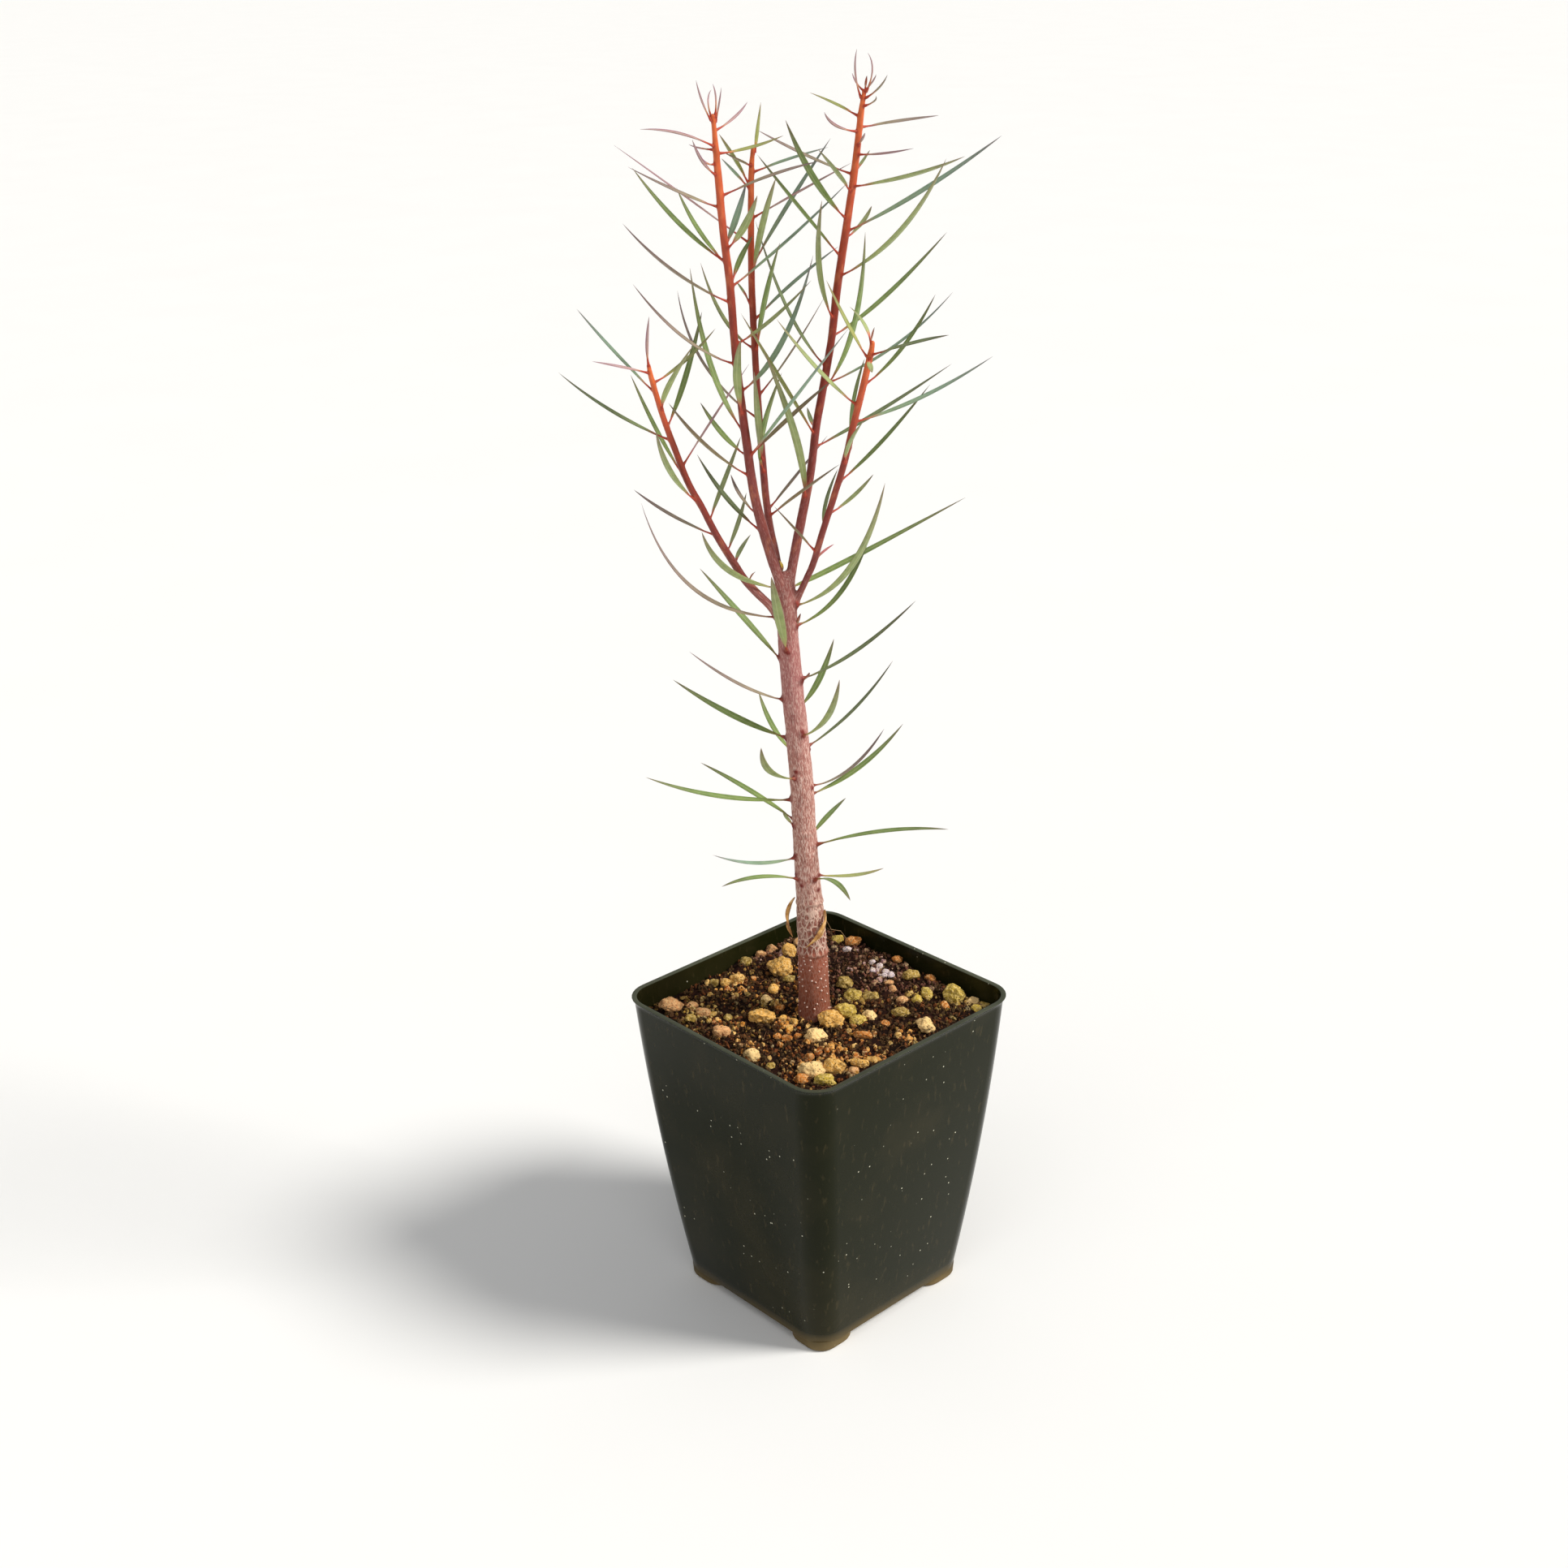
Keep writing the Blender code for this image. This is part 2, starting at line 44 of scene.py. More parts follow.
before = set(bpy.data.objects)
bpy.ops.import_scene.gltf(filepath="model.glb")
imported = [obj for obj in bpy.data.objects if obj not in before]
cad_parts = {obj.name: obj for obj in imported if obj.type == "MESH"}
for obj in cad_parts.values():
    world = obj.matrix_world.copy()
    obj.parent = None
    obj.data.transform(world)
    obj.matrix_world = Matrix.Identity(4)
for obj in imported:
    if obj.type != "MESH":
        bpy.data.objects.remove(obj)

MM = 0.001
LEAF_STATIONS = 26
DRIED_STATIONS = 20
TRUNK_CLEAR = 5.6 * MM
SIDE_FORK = 132  # height where the low shoots leave the trunk
TOP_FORK = 141
PLANT_TURN = math.radians(46.5)
VIEWER_DISTANCE = 593
VIEWER_HEIGHT = 332
VIEWER_AZIMUTH = math.radians(46.5)
VIEWER_ELEVATION = math.radians(28.7)
VIEWER_REACH = 676.4 * MM  # from the middle of the rim
SOIL_TOP = 99 * MM

# Stem centre lines: right, height, back, thickness. The first rows of a shoot lie inside the trunk.
STEMS = {
    "trunk": (
        (-1.3, -6, 0, 11.6), (-1.3, 0, 0, 10.6), (-1.4, 8, 0, 9.9), (-1.5, 20, 0, 9.4), (-2.2, 40, 0, 8.2),
        (-2.8, 52, 0, 7.6), (-3.4, 65, 0, 7.3), (-3.9, 80, 0, 7.1), (-5.3, 100, 0, 6.7), (-6.7, 120, 0, 6.4),
        (-7.2, 131, 0, 6.2), (-7.3, 138, 0, 6.0), (-7.5, 144.5, 0, 5.0), (-7.6, 146.5, 0, 3.0),
    ),
    "low_left": (
        (-8.4, 131, 0, 3.1), (-10.2, 134.3, 0, 2.9),
        (-12.2, 137.2, -1, 2.7), (-15.3, 140.5, -2, 2.6), (-19.2, 145, -3, 2.4), (-22.2, 150, -4, 2.3),
        (-25.1, 155, -5, 2.2), (-28, 160.5, -6, 2.1), (-31, 167, -7, 2.0), (-35, 175, -8, 2.0),
        (-38.4, 185, -9, 1.9), (-41.5, 195, -10, 1.7), (-43.9, 204.5, -10, 1.6), (-44.7, 209, -10, 1.2),
    ),
    "tall_left": (
        (-7.8, 138.5, -0.4, 3.4),
        (-9.2, 144.6, -1.6, 3.3), (-11.4, 152, -3, 3.1), (-13, 158, -3, 3.1), (-15.2, 167, -3, 2.9),
        (-16.5, 175, -4, 2.7), (-17.6, 185, -4, 2.6), (-18.8, 197, -4, 2.4), (-20.1, 212, -5, 2.3),
        (-21, 230, -5, 2.3), (-22.4, 245, -6, 2.2), (-23.3, 260, -6, 2.1), (-24.2, 276, -6, 1.2),
    ),
    "middle": (
        (-8, 138.5, 0.8, 2.7),
        (-9, 145.6, 2.4, 2.6), (-10.6, 155, 4, 2.5), (-11.8, 162, 5, 2.3), (-12.6, 170, 6, 2.2),
        (-13.3, 181, 7, 2.2), (-14, 195, 8, 2.1), (-14.6, 212, 9, 2.0), (-15, 230, 10, 2.0),
        (-14.8, 245, 11, 1.9), (-14.3, 260, 12, 1.7), (-13.6, 267.5, 12, 1.2),
    ),
    "tall_right": (
        (-7, 138.5, 0.2, 3.4),
        (-6, 145.7, 0.8, 3.1), (-4.2, 155, 2, 2.9), (-2.1, 165, 3, 2.8), (0.4, 177, 5, 2.5),
        (2.2, 190, 6, 2.4), (4.1, 200, 7, 2.4), (6.9, 215, 8, 2.3), (8.8, 230, 9, 2.4),
        (11.3, 245, 10, 2.3), (13.7, 260, 10, 2.1), (15.6, 275, 10, 1.8), (16.6, 281.5, 10, 1.1),
    ),
    "low_right": (
        (-5.8, 135.5, 0, 2.5), (-4.4, 138.6, -0.6, 2.3),
        (-3.0, 141.6, -1, 2.2), (-1.2, 145.5, -2, 2.1), (0.8, 150, -3, 2.0), (4, 160.5, -5, 2.0),
        (7.1, 170, -6, 2.0), (10.2, 180, -8, 2.0), (12.7, 190, -9, 2.0), (15.3, 200, -10, 2.0),
        (17.6, 209.5, -10, 1.9), (18.5, 214, -10, 1.3),
    ),
}

# Leaves of each stem: height of the node, middle (right, height), tip (right, height, back), the
# width that the viewer sees, and the tint.
LEAVES = {
    "trunk": (
        (48, 11, 48.5, 21, 51, 22, 1.1, "y"), (49, 5.5, 46.5, 10.5, 40, -24, 1.5, "g"),
        (49, -18, 48.5, -29.5, 45.5, -24, 1.3, "g"), (56, -19, 53.3, -32, 56.5, -16, 1.2, "b"),
        (60, 21, 63.5, 41, 63.8, -16, 1.3, "g"), (61, 4, 69, 9.5, 75, 24, 1.7, "g"),
        (67, -20, 78, -34.5, 87.5, 24, 1.7, "g"), (75, -30, 76.3, -51.5, 83, -9, 1.6, "g"),
        (83, -13.5, 84, -16, 92, -30, 1.9, "o"), (78.5, 11, 84.5, 21.3, 97.5, 20, 0.9, "p"),
        (75.5, 14, 85.2, 27, 99, 30, 1.8, "g"), (91.5, 12, 103.5, 24, 119.3, 24, 1.0, "d"),
        (97, 4, 101, 8, 113.5, -28, 1.9, "o"), (95, -25, 103, -41.8, 114.5, 6, 2.0, "g"),
        (89, -12.5, 99, -16.3, 110.5, 28, 1.7, "g"), (108, -22, 112.5, -36.6, 123.3, -12, 1.0, "p"),
        (104, 1.7, 113, 6.5, 126.5, 28, 2.1, "g"), (114, 13, 122.3, 30.7, 137.8, 6, 1.2, "d"),
        (119.5, -21, 134.5, -32.5, 149, 18, 1.9, "g"), (130.5, 10, 142.5, 19.5, 166.5, 18, 1.6, "g"),
        (133.8, -35, 143, -48.7, 169, -12, 1.2, "p"), (137.5, 11.5, 148, 21.8, 173.5, -14, 2.0, "o"),
        (124, -9.8, 134, -11.6, 146, -24, 3.2, "o"), (143, -24, 148, -31.5, 160, -20, 1.9, "o"),
        (66.6, -8.6, 68.4, -9.9, 70.6, -6, 1.1, "o"), (131, -4, 132.5, -3.2, 134.6, -3, 1.0, "r"),
        (146.5, -8.4, 149, -9.2, 151, 1, 0.9, "w"), (113.7, -1.7, 114.6, -1.0, 116, -5, 0.8, "r"),
        (142.5, 10, 150, 45, 168.8, 26, 1.8, "g"),
    ),
    "low_left": (
        (145, -17.4, 146.5, -16.2, 147.7, -4, 0.5, "p"), (150, -20.2, 154.5, -17.3, 159, 16, 1.4, "o"),
        (154, -21, 161.5, -18.2, 171.5, 20, 1.4, "o"), (159, -40, 165, -50.6, 173, 14, 1.0, "p"),
        (163.5, -24.5, 174.5, -19.3, 188, 20, 1.5, "o"), (170, -40, 178, -43.5, 190, -22, 1.8, "o"),
        (177.5, -43.3, 190, -49.9, 206.3, 4, 1.3, "g"), (180, -27, 193.5, -16.4, 208.6, 8, 0.7, "m"),
        (187.5, -56, 196, -70.2, 207.3, 0, 1.0, "d"), (191.5, -34.5, 204.5, -29.1, 223.5, 10, 1.8, "g"),
        (196.5, -39, 203, -32, 214, -18, 1.7, "o"), (201.5, -54, 212.5, -64, 225, 6, 0.9, "b"),
        (204, -34, 210, -25.5, 218.8, 2, 1.0, "y"), (206.8, -52, 208.5, -60.5, 210.3, -16, 0.8, "m"),
        (209, -44.8, 215, -43.9, 222.5, -13, 1.0, "m"),
    ),
    "tall_left": (
        (160.5, -24.5, 170.5, -32, 183, 2, 1.5, "d"), (165, -20, 170.5, -22.5, 177, 12, 1.0, "p"),
        (177, -29.5, 185.5, -39.5, 198, -14, 1.1, "t"), (182.5, -24.5, 188.5, -30.5, 198, 12, 1.6, "g"),
        (190, -27.5, 209, -32, 235.7, 10, 1.8, "g"), (195, -19.9, 205, -18.5, 215.5, -22, 2.6, "o"),
        (209, -35, 216.7, -48, 231.5, -10, 0.9, "p"), (226.3, -37, 235, -50, 248, -18, 0.9, "p"),
        (237, -29.5, 246, -34.8, 257.3, 12, 1.3, "g"), (237.5, -35, 248, -46.6, 262.7, -2, 1.4, "g"),
        (252, -35, 256.3, -47.8, 263, -14, 0.8, "p"), (260.5, -27.5, 264, -30, 269.7, -14, 1.0, "m"),
        (263.3, -26.5, 263.6, -28.5, 266, -10, 0.6, "m"), (267, -28, 267.5, -31, 268.5, -2, 0.5, "m"),
        (268, -34, 271.6, -44, 272.7, -24, 0.8, "m"), (272, -18.5, 275.2, -14.8, 279.2, 6, 0.8, "m"),
        (266, -14, 267.3, -5.3, 270.3, 2, 0.9, "y"), (241.5, -18.7, 248.5, -15.8, 258, 14, 2.0, "b"),
        (241, -16.5, 246.5, -12.8, 254.7, -14, 2.2, "o"), (255, -9, 259.8, 4, 263.3, -6, 0.8, "p"),
        (231, -17.7, 238, -14.3, 244, 8, 1.7, "g"), (230.5, -4, 243, 12, 257.7, 16, 0.8, "b"),
        (214.7, -9, 221.3, 1.5, 231.5, -8, 1.1, "o"), (201.5, -6.5, 215, 2.2, 238.4, -6, 1.7, "b"),
        (183, -4, 198, 11.7, 218, -22, 1.0, "b"), (183, -5, 193.2, 7.5, 204, -3, 1.3, "t"),
        (274.5, -27, 279.5, -28.4, 285, -8, 0.6, "m"), (275, -25.4, 279.5, -24.4, 282.5, -2, 0.5, "m"),
        (275.5, -23.3, 280.5, -24, 284, -6, 0.5, "m"), (274, -22.5, 278.5, -21.7, 283, -4, 0.5, "m"),
    ),
    "middle": (
        (167, -4, 175.7, 5.4, 187.7, 16, 0.8, "p"), (165, -2, 171.5, 8.8, 179.3, -6, 0.9, "t"),
        (178, -13, 188.5, -7.2, 206, 4, 1.8, "g"), (181.5, -14.3, 192, -15, 206.5, -20, 2.2, "o"),
        (193.5, -29.5, 209.3, -35.7, 229.5, 16, 0.8, "p"), (200.3, -4.5, 211.7, 4.9, 226.5, 14, 0.6, "p"),
        (213, -11, 227.5, -6.9, 242, 0, 1.6, "g"), (213.3, -23.5, 222, -29, 237, 16, 1.2, "o"),
        (221.5, -3, 231.2, 9.2, 240.6, 14, 1.0, "b"), (226, -17.5, 229, -19.3, 231.7, 8, 0.8, "o"),
        (233, -11.5, 246.5, -7.6, 259.3, -8, 2.0, "o"), (237, -4, 252.5, 7.4, 269.3, 14, 1.3, "b"),
        (242.3, -34, 256, -51.2, 268.7, 14, 0.6, "m"), (249, -1, 255.7, 12.8, 262.7, 3, 0.7, "m"),
        (257, -19, 261, -22.3, 264.7, 8, 0.9, "b"), (258, -18.5, 264, -22.7, 271, 8, 1.2, "y"),
        (261, -4, 264, 6.7, 267, 16, 0.7, "b"), (262.8, -17.5, 264, -21.8, 266.4, 0, 0.7, "t"),
        (266, -12.3, 271, -11.2, 279, 12, 1.1, "y"),
    ),
    "tall_right": (
        (170.5, -3.8, 187.5, -12, 212, -14, 2.4, "o"), (189, -8, 204.5, -18.2, 222.8, -18, 1.2, "y"),
        (189.5, 0.7, 192.5, -0.2, 196, 16, 1.3, "d"), (184.7, 20, 194.2, 40.6, 207.5, 24, 1.2, "d"),
        (202.5, 13.5, 219, 16.6, 244.3, 0, 1.7, "g"), (202.8, 25, 213, 40.8, 227.5, 14, 0.8, "b"),
        (208.3, -5.5, 224, -13.5, 248, 6, 1.0, "d"), (216.3, 22, 226.5, 39, 243.8, 34, 1.4, "g"),
        (221.5, 3.6, 235, 4.8, 253, -6, 1.8, "o"), (233, 26, 244, 38.7, 263.3, -18, 1.5, "o"),
        (238.5, -2, 251.8, -12.5, 265.4, -6, 1.1, "g"), (248.5, 2.5, 259, -4.7, 274.3, -4, 2.0, "g"),
        (245, 32, 254.8, 53.6, 269, 2, 1.4, "b"), (255.5, 8.7, 260.5, 4, 266.5, -8, 1.3, "o"),
        (260, 0, 265.2, -12.2, 271.8, 8, 0.8, "p"), (243, 15.5, 246.3, 18.4, 251.3, 26, 1.2, "o"),
        (256.7, 29, 259, 43.7, 263.8, -22, 1.2, "o"), (265, 22, 265.1, 29.8, 266.2, -6, 0.7, "m"),
        (260.5, 16, 263, 18, 266, 20, 0.9, "o"), (272, 26, 273.3, 36.6, 274.6, 26, 0.8, "p"),
        (275, 9, 278, 2, 281.2, 12, 0.8, "y"), (271, 8.8, 272.6, 5.8, 276.1, 0, 0.9, "m"),
        (267.5, 16, 269, 16.7, 270.5, 0, 0.8, "m"), (279.5, 14.2, 286, 14.7, 292, 9, 0.6, "m"),
        (281, 18.8, 286.5, 17.6, 291, 9, 0.5, "m"), (279.5, 20.5, 282, 22.8, 285.3, 6, 0.6, "p"),
        (277.5, 19.2, 278.6, 19.7, 280, 4, 0.5, "p"), (281.5, 14.4, 283.6, 13.4, 286, 14, 0.5, "m"),
        (281.5, 18.8, 283.6, 19.8, 285.5, 2, 0.5, "m"), (281.5, 17.1, 283.6, 17.3, 285.2, 12, 0.7, "r"),
    ),
    "low_right": (
        (151, 4, 153.5, 6.9, 155.6, 4, 0.8, "k"), (154, -4, 159.7, -10.2, 167.2, -8, 0.7, "t"),
        (160, 5, 168.5, 8.3, 178, 18, 1.2, "g"), (165, 12.5, 169.5, 18.5, 176.2, 6, 1.2, "o"),
        (174.7, 21, 185.5, 34.6, 201.8, 8, 1.2, "g"), (180, 12, 185.5, 15.8, 191.8, -24, 1.3, "o"),
        (184, 13, 196.5, 16.2, 209.5, -6, 1.2, "g"), (191.7, 33, 198.4, 52.2, 209.4, -2, 1.2, "b"),
        (196.7, 3, 206.5, -8.3, 221, -12, 1.2, "o"), (202.5, 27, 212.3, 36, 227, 2, 1.2, "g"),
        (210.7, 29, 213.3, 39.8, 215.6, -28, 0.9, "d"), (209.5, 17.6, 207.3, 18.2, 205.5, -26, 1.8, "o"),
        (210, 11.5, 219, 5.7, 231.5, -8, 1.0, "y"), (213.5, 16, 219.2, 12.1, 224.1, -2, 1.0, "o"),
        (213.8, 18.4, 216.2, 19, 218.2, -10, 0.6, "r"),
    ),
}

# Tints of the leaves: stalk, lower blade, upper blade, point.
TINTS = {
    "g": ("#c4473a", "#82984e", "#728a48", "#6a5644"),
    "o": ("#cf5a4c", "#a2ad6c", "#98a56a", "#846a58"),
    "b": ("#c26a52", "#8ca682", "#86a38c", "#80707e"),
    "d": ("#a8443a", "#728050", "#66764c", "#5c4842"),
    "y": ("#d06a44", "#a3a354", "#949a55", "#8a6a50"),
    "t": ("#b8584a", "#94805c", "#8a7458", "#5a4440"),
    "p": ("#b04a44", "#97866c", "#8e7670", "#70505e"),
    "m": ("#c4583e", "#b47a88", "#a87088", "#8a5678"),
    "k": ("#d86a6c", "#d8707a", "#d0707a", "#c06070"),
    "r": ("#a83a30", "#9a3a30", "#8a3228", "#6a2a24"),
    "w": ("#c09a2c", "#d8b02c", "#d8b02c", "#b8902c"),
}

# Dried leaves against the trunk: foot, middle and tip, by degrees round it, height and distance.
DRIED_LEAVES = (
    ((-85, 41.5, 0.4), (-72, 34.5, 3.0), (-57, 27.6, 2.7)),
    ((85, 37, 0.4), (38, 29.5, 1.6), (-24, 23.2, 2.1)),
)
# Scars and stubs of fallen leaves on the front of the trunk: right, height.
SCARS = (
    (-8.1, 75.5), (-5.5, 84), (-0.8, 78.5), (-3.5, 97), (-9.2, 94.8), (-1.2, 91.3), (-9.2, 108), (-3.4, 114),
    (-7.2, 122.5), (-9.8, 121.5), (-4.6, 138), (-6.1, 56), (0.8, 49), (-4.6, 45.5), (0.6, 44), (-6, 49.5),
)

# Pumice on the soil: right, back, width, depth and height, tint.
STONES = (
    (-47, 3.4, 7.4, 6.2, 4.6, "k"), (-40.5, 5, 3.6, 3.2, 2.4, "k"), (-37, 0.8, 4.8, 4.0, 3.0, "k"),
    (-41, -2.8, 4.2, 3.4, 2.6, "o"), (-31, -12.6, 5.6, 4.6, 3.6, "k"), (-29, -2, 3.0, 3.0, 2.4, "o"),
    (-26.6, 20.6, 4.6, 4.0, 3.2, "y"), (-30, 18.6, 3.8, 3.4, 2.8, "y"), (-18, -3.4, 7.8, 6.4, 5.0, "y"),
    (-16.8, 8.2, 3.2, 3.4, 2.6, "c"), (-14.6, 14.6, 3.2, 3.6, 2.6, "y"), (-12.6, 26.4, 8.4, 7.0, 6.2, "y"),
    (-9.6, 38.4, 5.4, 5.0, 4.0, "y"), (-9.4, 20, 4.2, 3.2, 2.4, "o"), (-12.5, 3.2, 3.2, 2.4, 2.0, "b"),
    (-11.4, -5, 2.6, 2.4, 2.0, "y"), (-8.2, -6.2, 3.0, 2.6, 2.2, "y"), (-9.4, -9.4, 2.8, 2.4, 2.0, "y"),
    (-13, -15.6, 2.6, 2.2, 1.8, "b"), (-10, -16, 3.2, 2.6, 2.2, "b"), (-6.8, -13.8, 2.6, 2.4, 1.8, "b"),
    (-1.4, -16.4, 7.2, 6.0, 5.2, "c"), (3.8, -5.6, 7.6, 6.6, 5.0, "y"), (8.4, -0.6, 6.6, 6.4, 4.6, "g"),
    (12.6, -5, 5.2, 5.0, 3.6, "g"), (16.4, -2.6, 4.6, 5.4, 4.0, "c"), (8.4, 16.6, 5.4, 5.0, 3.6, "o"),
    (11, 9.6, 5.2, 5.8, 4.4, "g"), (17, 8.6, 4.8, 4.6, 3.4, "o"), (13.6, -15.8, 5.6, 3.2, 2.6, "b"),
    (26.6, -1.8, 6.2, 3.8, 2.6, "o"), (31.8, 6.8, 3.4, 3.4, 2.6, "g"), (35, 10.6, 3.8, 4.6, 3.0, "g"),
    (44, 8.4, 6.2, 6.6, 5.4, "g"), (50, 7, 4.2, 3.6, 3.0, "c"), (53.2, 3.4, 3.8, 4.0, 2.8, "o"),
    (50.4, 0.8, 3.4, 2.8, 2.2, "g"), (40.6, 3, 2.8, 3.6, 2.2, "b"), (33.6, -11.6, 6.0, 5.6, 4.4, "c"),
    (30.6, 20.6, 5.2, 4.2, 3.2, "o"), (27, 7.4, 3.8, 3.0, 2.4, "k"), (7, 46.6, 4.2, 4.4, 3.4, "g"),
    (10, 39.2, 2.8, 2.6, 2.0, "l"), (18, 30, 2.2, 2.2, 1.6, "l"), (20.6, 28.2, 2.4, 2.8, 1.8, "l"),
    (22.2, 25, 2.8, 2.4, 1.8, "l"), (
        24.2, 22.6, 2.4, 2.4, 1.7, "l"), (21.8, 22.4, 2.0, 2.2, 1.5, "l"), (23.2, 17.4, 3.0, 2.6, 1.8, "k"),
    (24.2, 13.4, 2.6, 2.6, 1.8, "k"), (-20.8, -27.8, 5.0, 4.2, 3.8, "c"), (-3, -27.6, 3.2, 2.6, 2.4, "b"),
    (-2.2, -36.6, 8.2, 6.2, 5.0, "c"), (4.6, -35.6, 6.2, 6.0, 5.2, "y"), (12.4, -32.8, 5.2, 3.6, 3.4, "y"),
    (10, -36.2, 3.6, 3.0, 2.4, "k"), (16.2, -30, 3.6, 3.0, 2.4, "y"), (1.6, -42.8, 6.2, 4.0, 3.6, "g"),
    (-5.4, -41.6, 4.4, 3.6, 2.8, "b"), (-14.8, -32.6, 2.8, 2.4, 2.0, "o"), (-6, 44, 4.0, 3.6, 3.0, "k"),
    (-15.6, 42, 3.6, 3.2, 2.6, "k"), (-21.6, 41, 3.6, 3.2, 2.4, "k"), (13.6, 45.6, 5.4, 4.4, 3.6, "b"),
    (-24, 32, 3.6, 3.4, 2.6, "o"), (37, 20, 3.4, 3.0, 2.4, "b"), (29, 34, 3.6, 3.2, 2.6, "b"),
    (-34, 19, 3.4, 3.0, 2.2, "o"), (-4, -33, 2.4, 2.2, 1.8, "b"), (21, -8, 2.8, 2.4, 1.8, "b"),
)
STONE_TINTS = {
    "c": "#f2cb8a", "y": "#dba44f", "g": "#b89c3e", "o": "#a08237", "k": "#d29865", "b": "#bb6d26",
    "l": "#d6c6cc",
}
# Drifts of finer grit: right, back, reach, how many, tints.
DRIFTS = (
    (-9, -7, 6, 60, "gold"), (-27, 19, 7, 60, "gold"), (5, -25, 9, 70, "gold"), (33, 11, 5, 24, "olive"),
    (-38, 1, 6, 40, "olive"), (17, -26, 6, 40, "gold"), (-3, -35, 9, 60, "gold"), (-17, 6, 6, 30, "olive"),
    (12, 8, 6, 30, "olive"), (46, 8, 6, 40, "olive"), (-30, -9, 6, 40, "gold"), (24, 20, 8, 40, "mauve"),
    (15, 30, 8, 40, "mauve"), (21, 26, 4, 14, "lilac"), (
        -18, 40, 10, 60, "mauve"), (-22, -22, 6, 34, "gold"), (28, -16, 5, 24, "gold"),
)
DRIFT_TINTS = {
    "gold": ("#c9822e", "#b5641a", "#dd9c4a", "#9a4c12", "#e4b468", "#7a380e"),
    "olive": ("#98782c", "#b08838", "#7c5c1c", "#c09c4c", "#5e4416"),
    "lilac": ("#d6c6cc", "#bda4ae", "#8e6a70", "#6a4448"),
    "mauve": ("#5e3230", "#74403c", "#46201c", "#8a5a4c", "#9a7478"),
}
CRUMB_TINTS = ("#1a0a04", "#100602", "#2a1004", "#381405", "#4e1e08", "#200c05", "#6c2c0a")
GRIT_TINTS = {
    "front": ("#8a4e1c", "#a8641f", "#b07a34", "#5e3412", "#442208", "#c29654", "#2d170b"),
    "left": ("#7a5c24", "#94702c", "#5c4620", "#a8823a", "#3c2a12", "#b98c44", "#7a4a20"),
    # Back part: dark purple-brown, partly a painted shadow of the trunk along with the peat's own colour.
    "back": ("#4c2428", "#5a2e30", "#381a1e", "#6a3a36", "#2a1214", "#7a4a44", "#4a2226"),
    "right": ("#4a2a14", "#6c5624", "#38200e", "#86682e", "#5a381c", "#a07c3c", "#2a160c"),
}


def clamped(value, low, high):
    return max(low, min(high, value))


def linear(channel):
    return channel / 12.92 if channel <= 0.04045 else ((channel + 0.055) / 1.055) ** 2.4


def shade(code):
    """Linear RGBA of an sRGB hex colour."""
    return (*[linear(int(code[start:start + 2], 16) / 255) for start in (1, 3, 5)], 1.0)


def size_prop(name, description, default):
    return FloatProperty(name=name, description=description, default=default, unit="LENGTH", min=0)


def colour_prop(name, description, code):
    return FloatVectorProperty(
        name=name, description=description, default=shade(code), size=4, subtype="COLOR", min=0, max=1)


class PotSettings(bpy.types.PropertyGroup):
    height: size_prop("Height", "Standing surface to the top of the rim", 106 * MM)
    top_side: size_prop("Top side", "Outside width just under the rim", 88.6 * MM)
    base_side: size_prop("Base side", "Outside width at the floor", 67.1 * MM)
    bulge: size_prop("Bulge", "How far a wall stands out of the straight taper", 1.0 * MM)
    wall: size_prop("Wall", "Thickness of the walls", 0.9 * MM)
    floor: size_prop("Floor", "Thickness of the floor", 1.2 * MM)
    corner: size_prop("Corner", "Radius of the upright corners", 9 * MM)
    rim_out: size_prop("Rim", "How far the rim flares out of the wall", 0.8 * MM)
    rim_tall: size_prop("Rim height", "Height of the flare under the rim", 2.6 * MM)
    foot_tall: size_prop("Foot height", "Height of the toes under the floor", 3.5 * MM)
    foot_side: size_prop("Foot side", "Width of a toe", 17 * MM)
    drain_hole: size_prop("Drain hole", "Diameter of a drain hole", 8 * MM)
    drain_reach: size_prop("Drain reach", "From the pot's axis to a drain hole", 21 * MM)
    colour: colour_prop("Colour", "Dark green plastic", "#191b08")
    dust_colour: colour_prop("Dust", "Dried water and dust on the plastic", "#947e58")


class SoilSettings(bpy.types.PropertyGroup):
    cell: size_prop("Cell", "Width of a face of the soil's surface", 0.7 * MM)
    mound: size_prop("Mound", "How far the soil rises towards the back", 2.2 * MM)
    clump: size_prop("Clump", "Height of the clumps of peat", 1.3 * MM)
    grit: IntProperty(name="Grit", description="How many grains of grit", default=300, min=0)
    crumbs: IntProperty(name="Crumbs", description="How many crumbs of peat", default=5200, min=0)
    fibres: IntProperty(name="Fibres", description="How many fibres", default=90, min=0)
    seed: IntProperty(name="Seed", description="Seed of the grains", default=7, min=0)
    peat_colour: colour_prop("Peat", "Damp peat", "#180c07")


class PlantSettings(bpy.types.PropertyGroup):
    voxel: size_prop("Detail", "Width of a face of the bark", 0.33 * MM)
    fissure: size_prop("Fissures", "Depth of the furrows in the bark", 0.1 * MM)
    leaf_width: size_prop("Leaf width", "Width of a grown leaf", 2.7 * MM)
    leaf_fold: FloatProperty(name="Leaf fold", description="Rise of a leaf's edges over its width", default=0.22)
    leaf_thickness: FloatProperty(name="Leaf thickness", description="Thickness over width", default=0.16)
    lenticels: IntProperty(name="Lenticels", description="Pale dots at the trunk's foot", default=120, min=0)
    bark_colour: colour_prop("Bark", "Bark at the middle of the trunk", "#b27a6c")
    shoot_colour: colour_prop("Shoots", "Bark of the young shoots", "#bf4e2a")


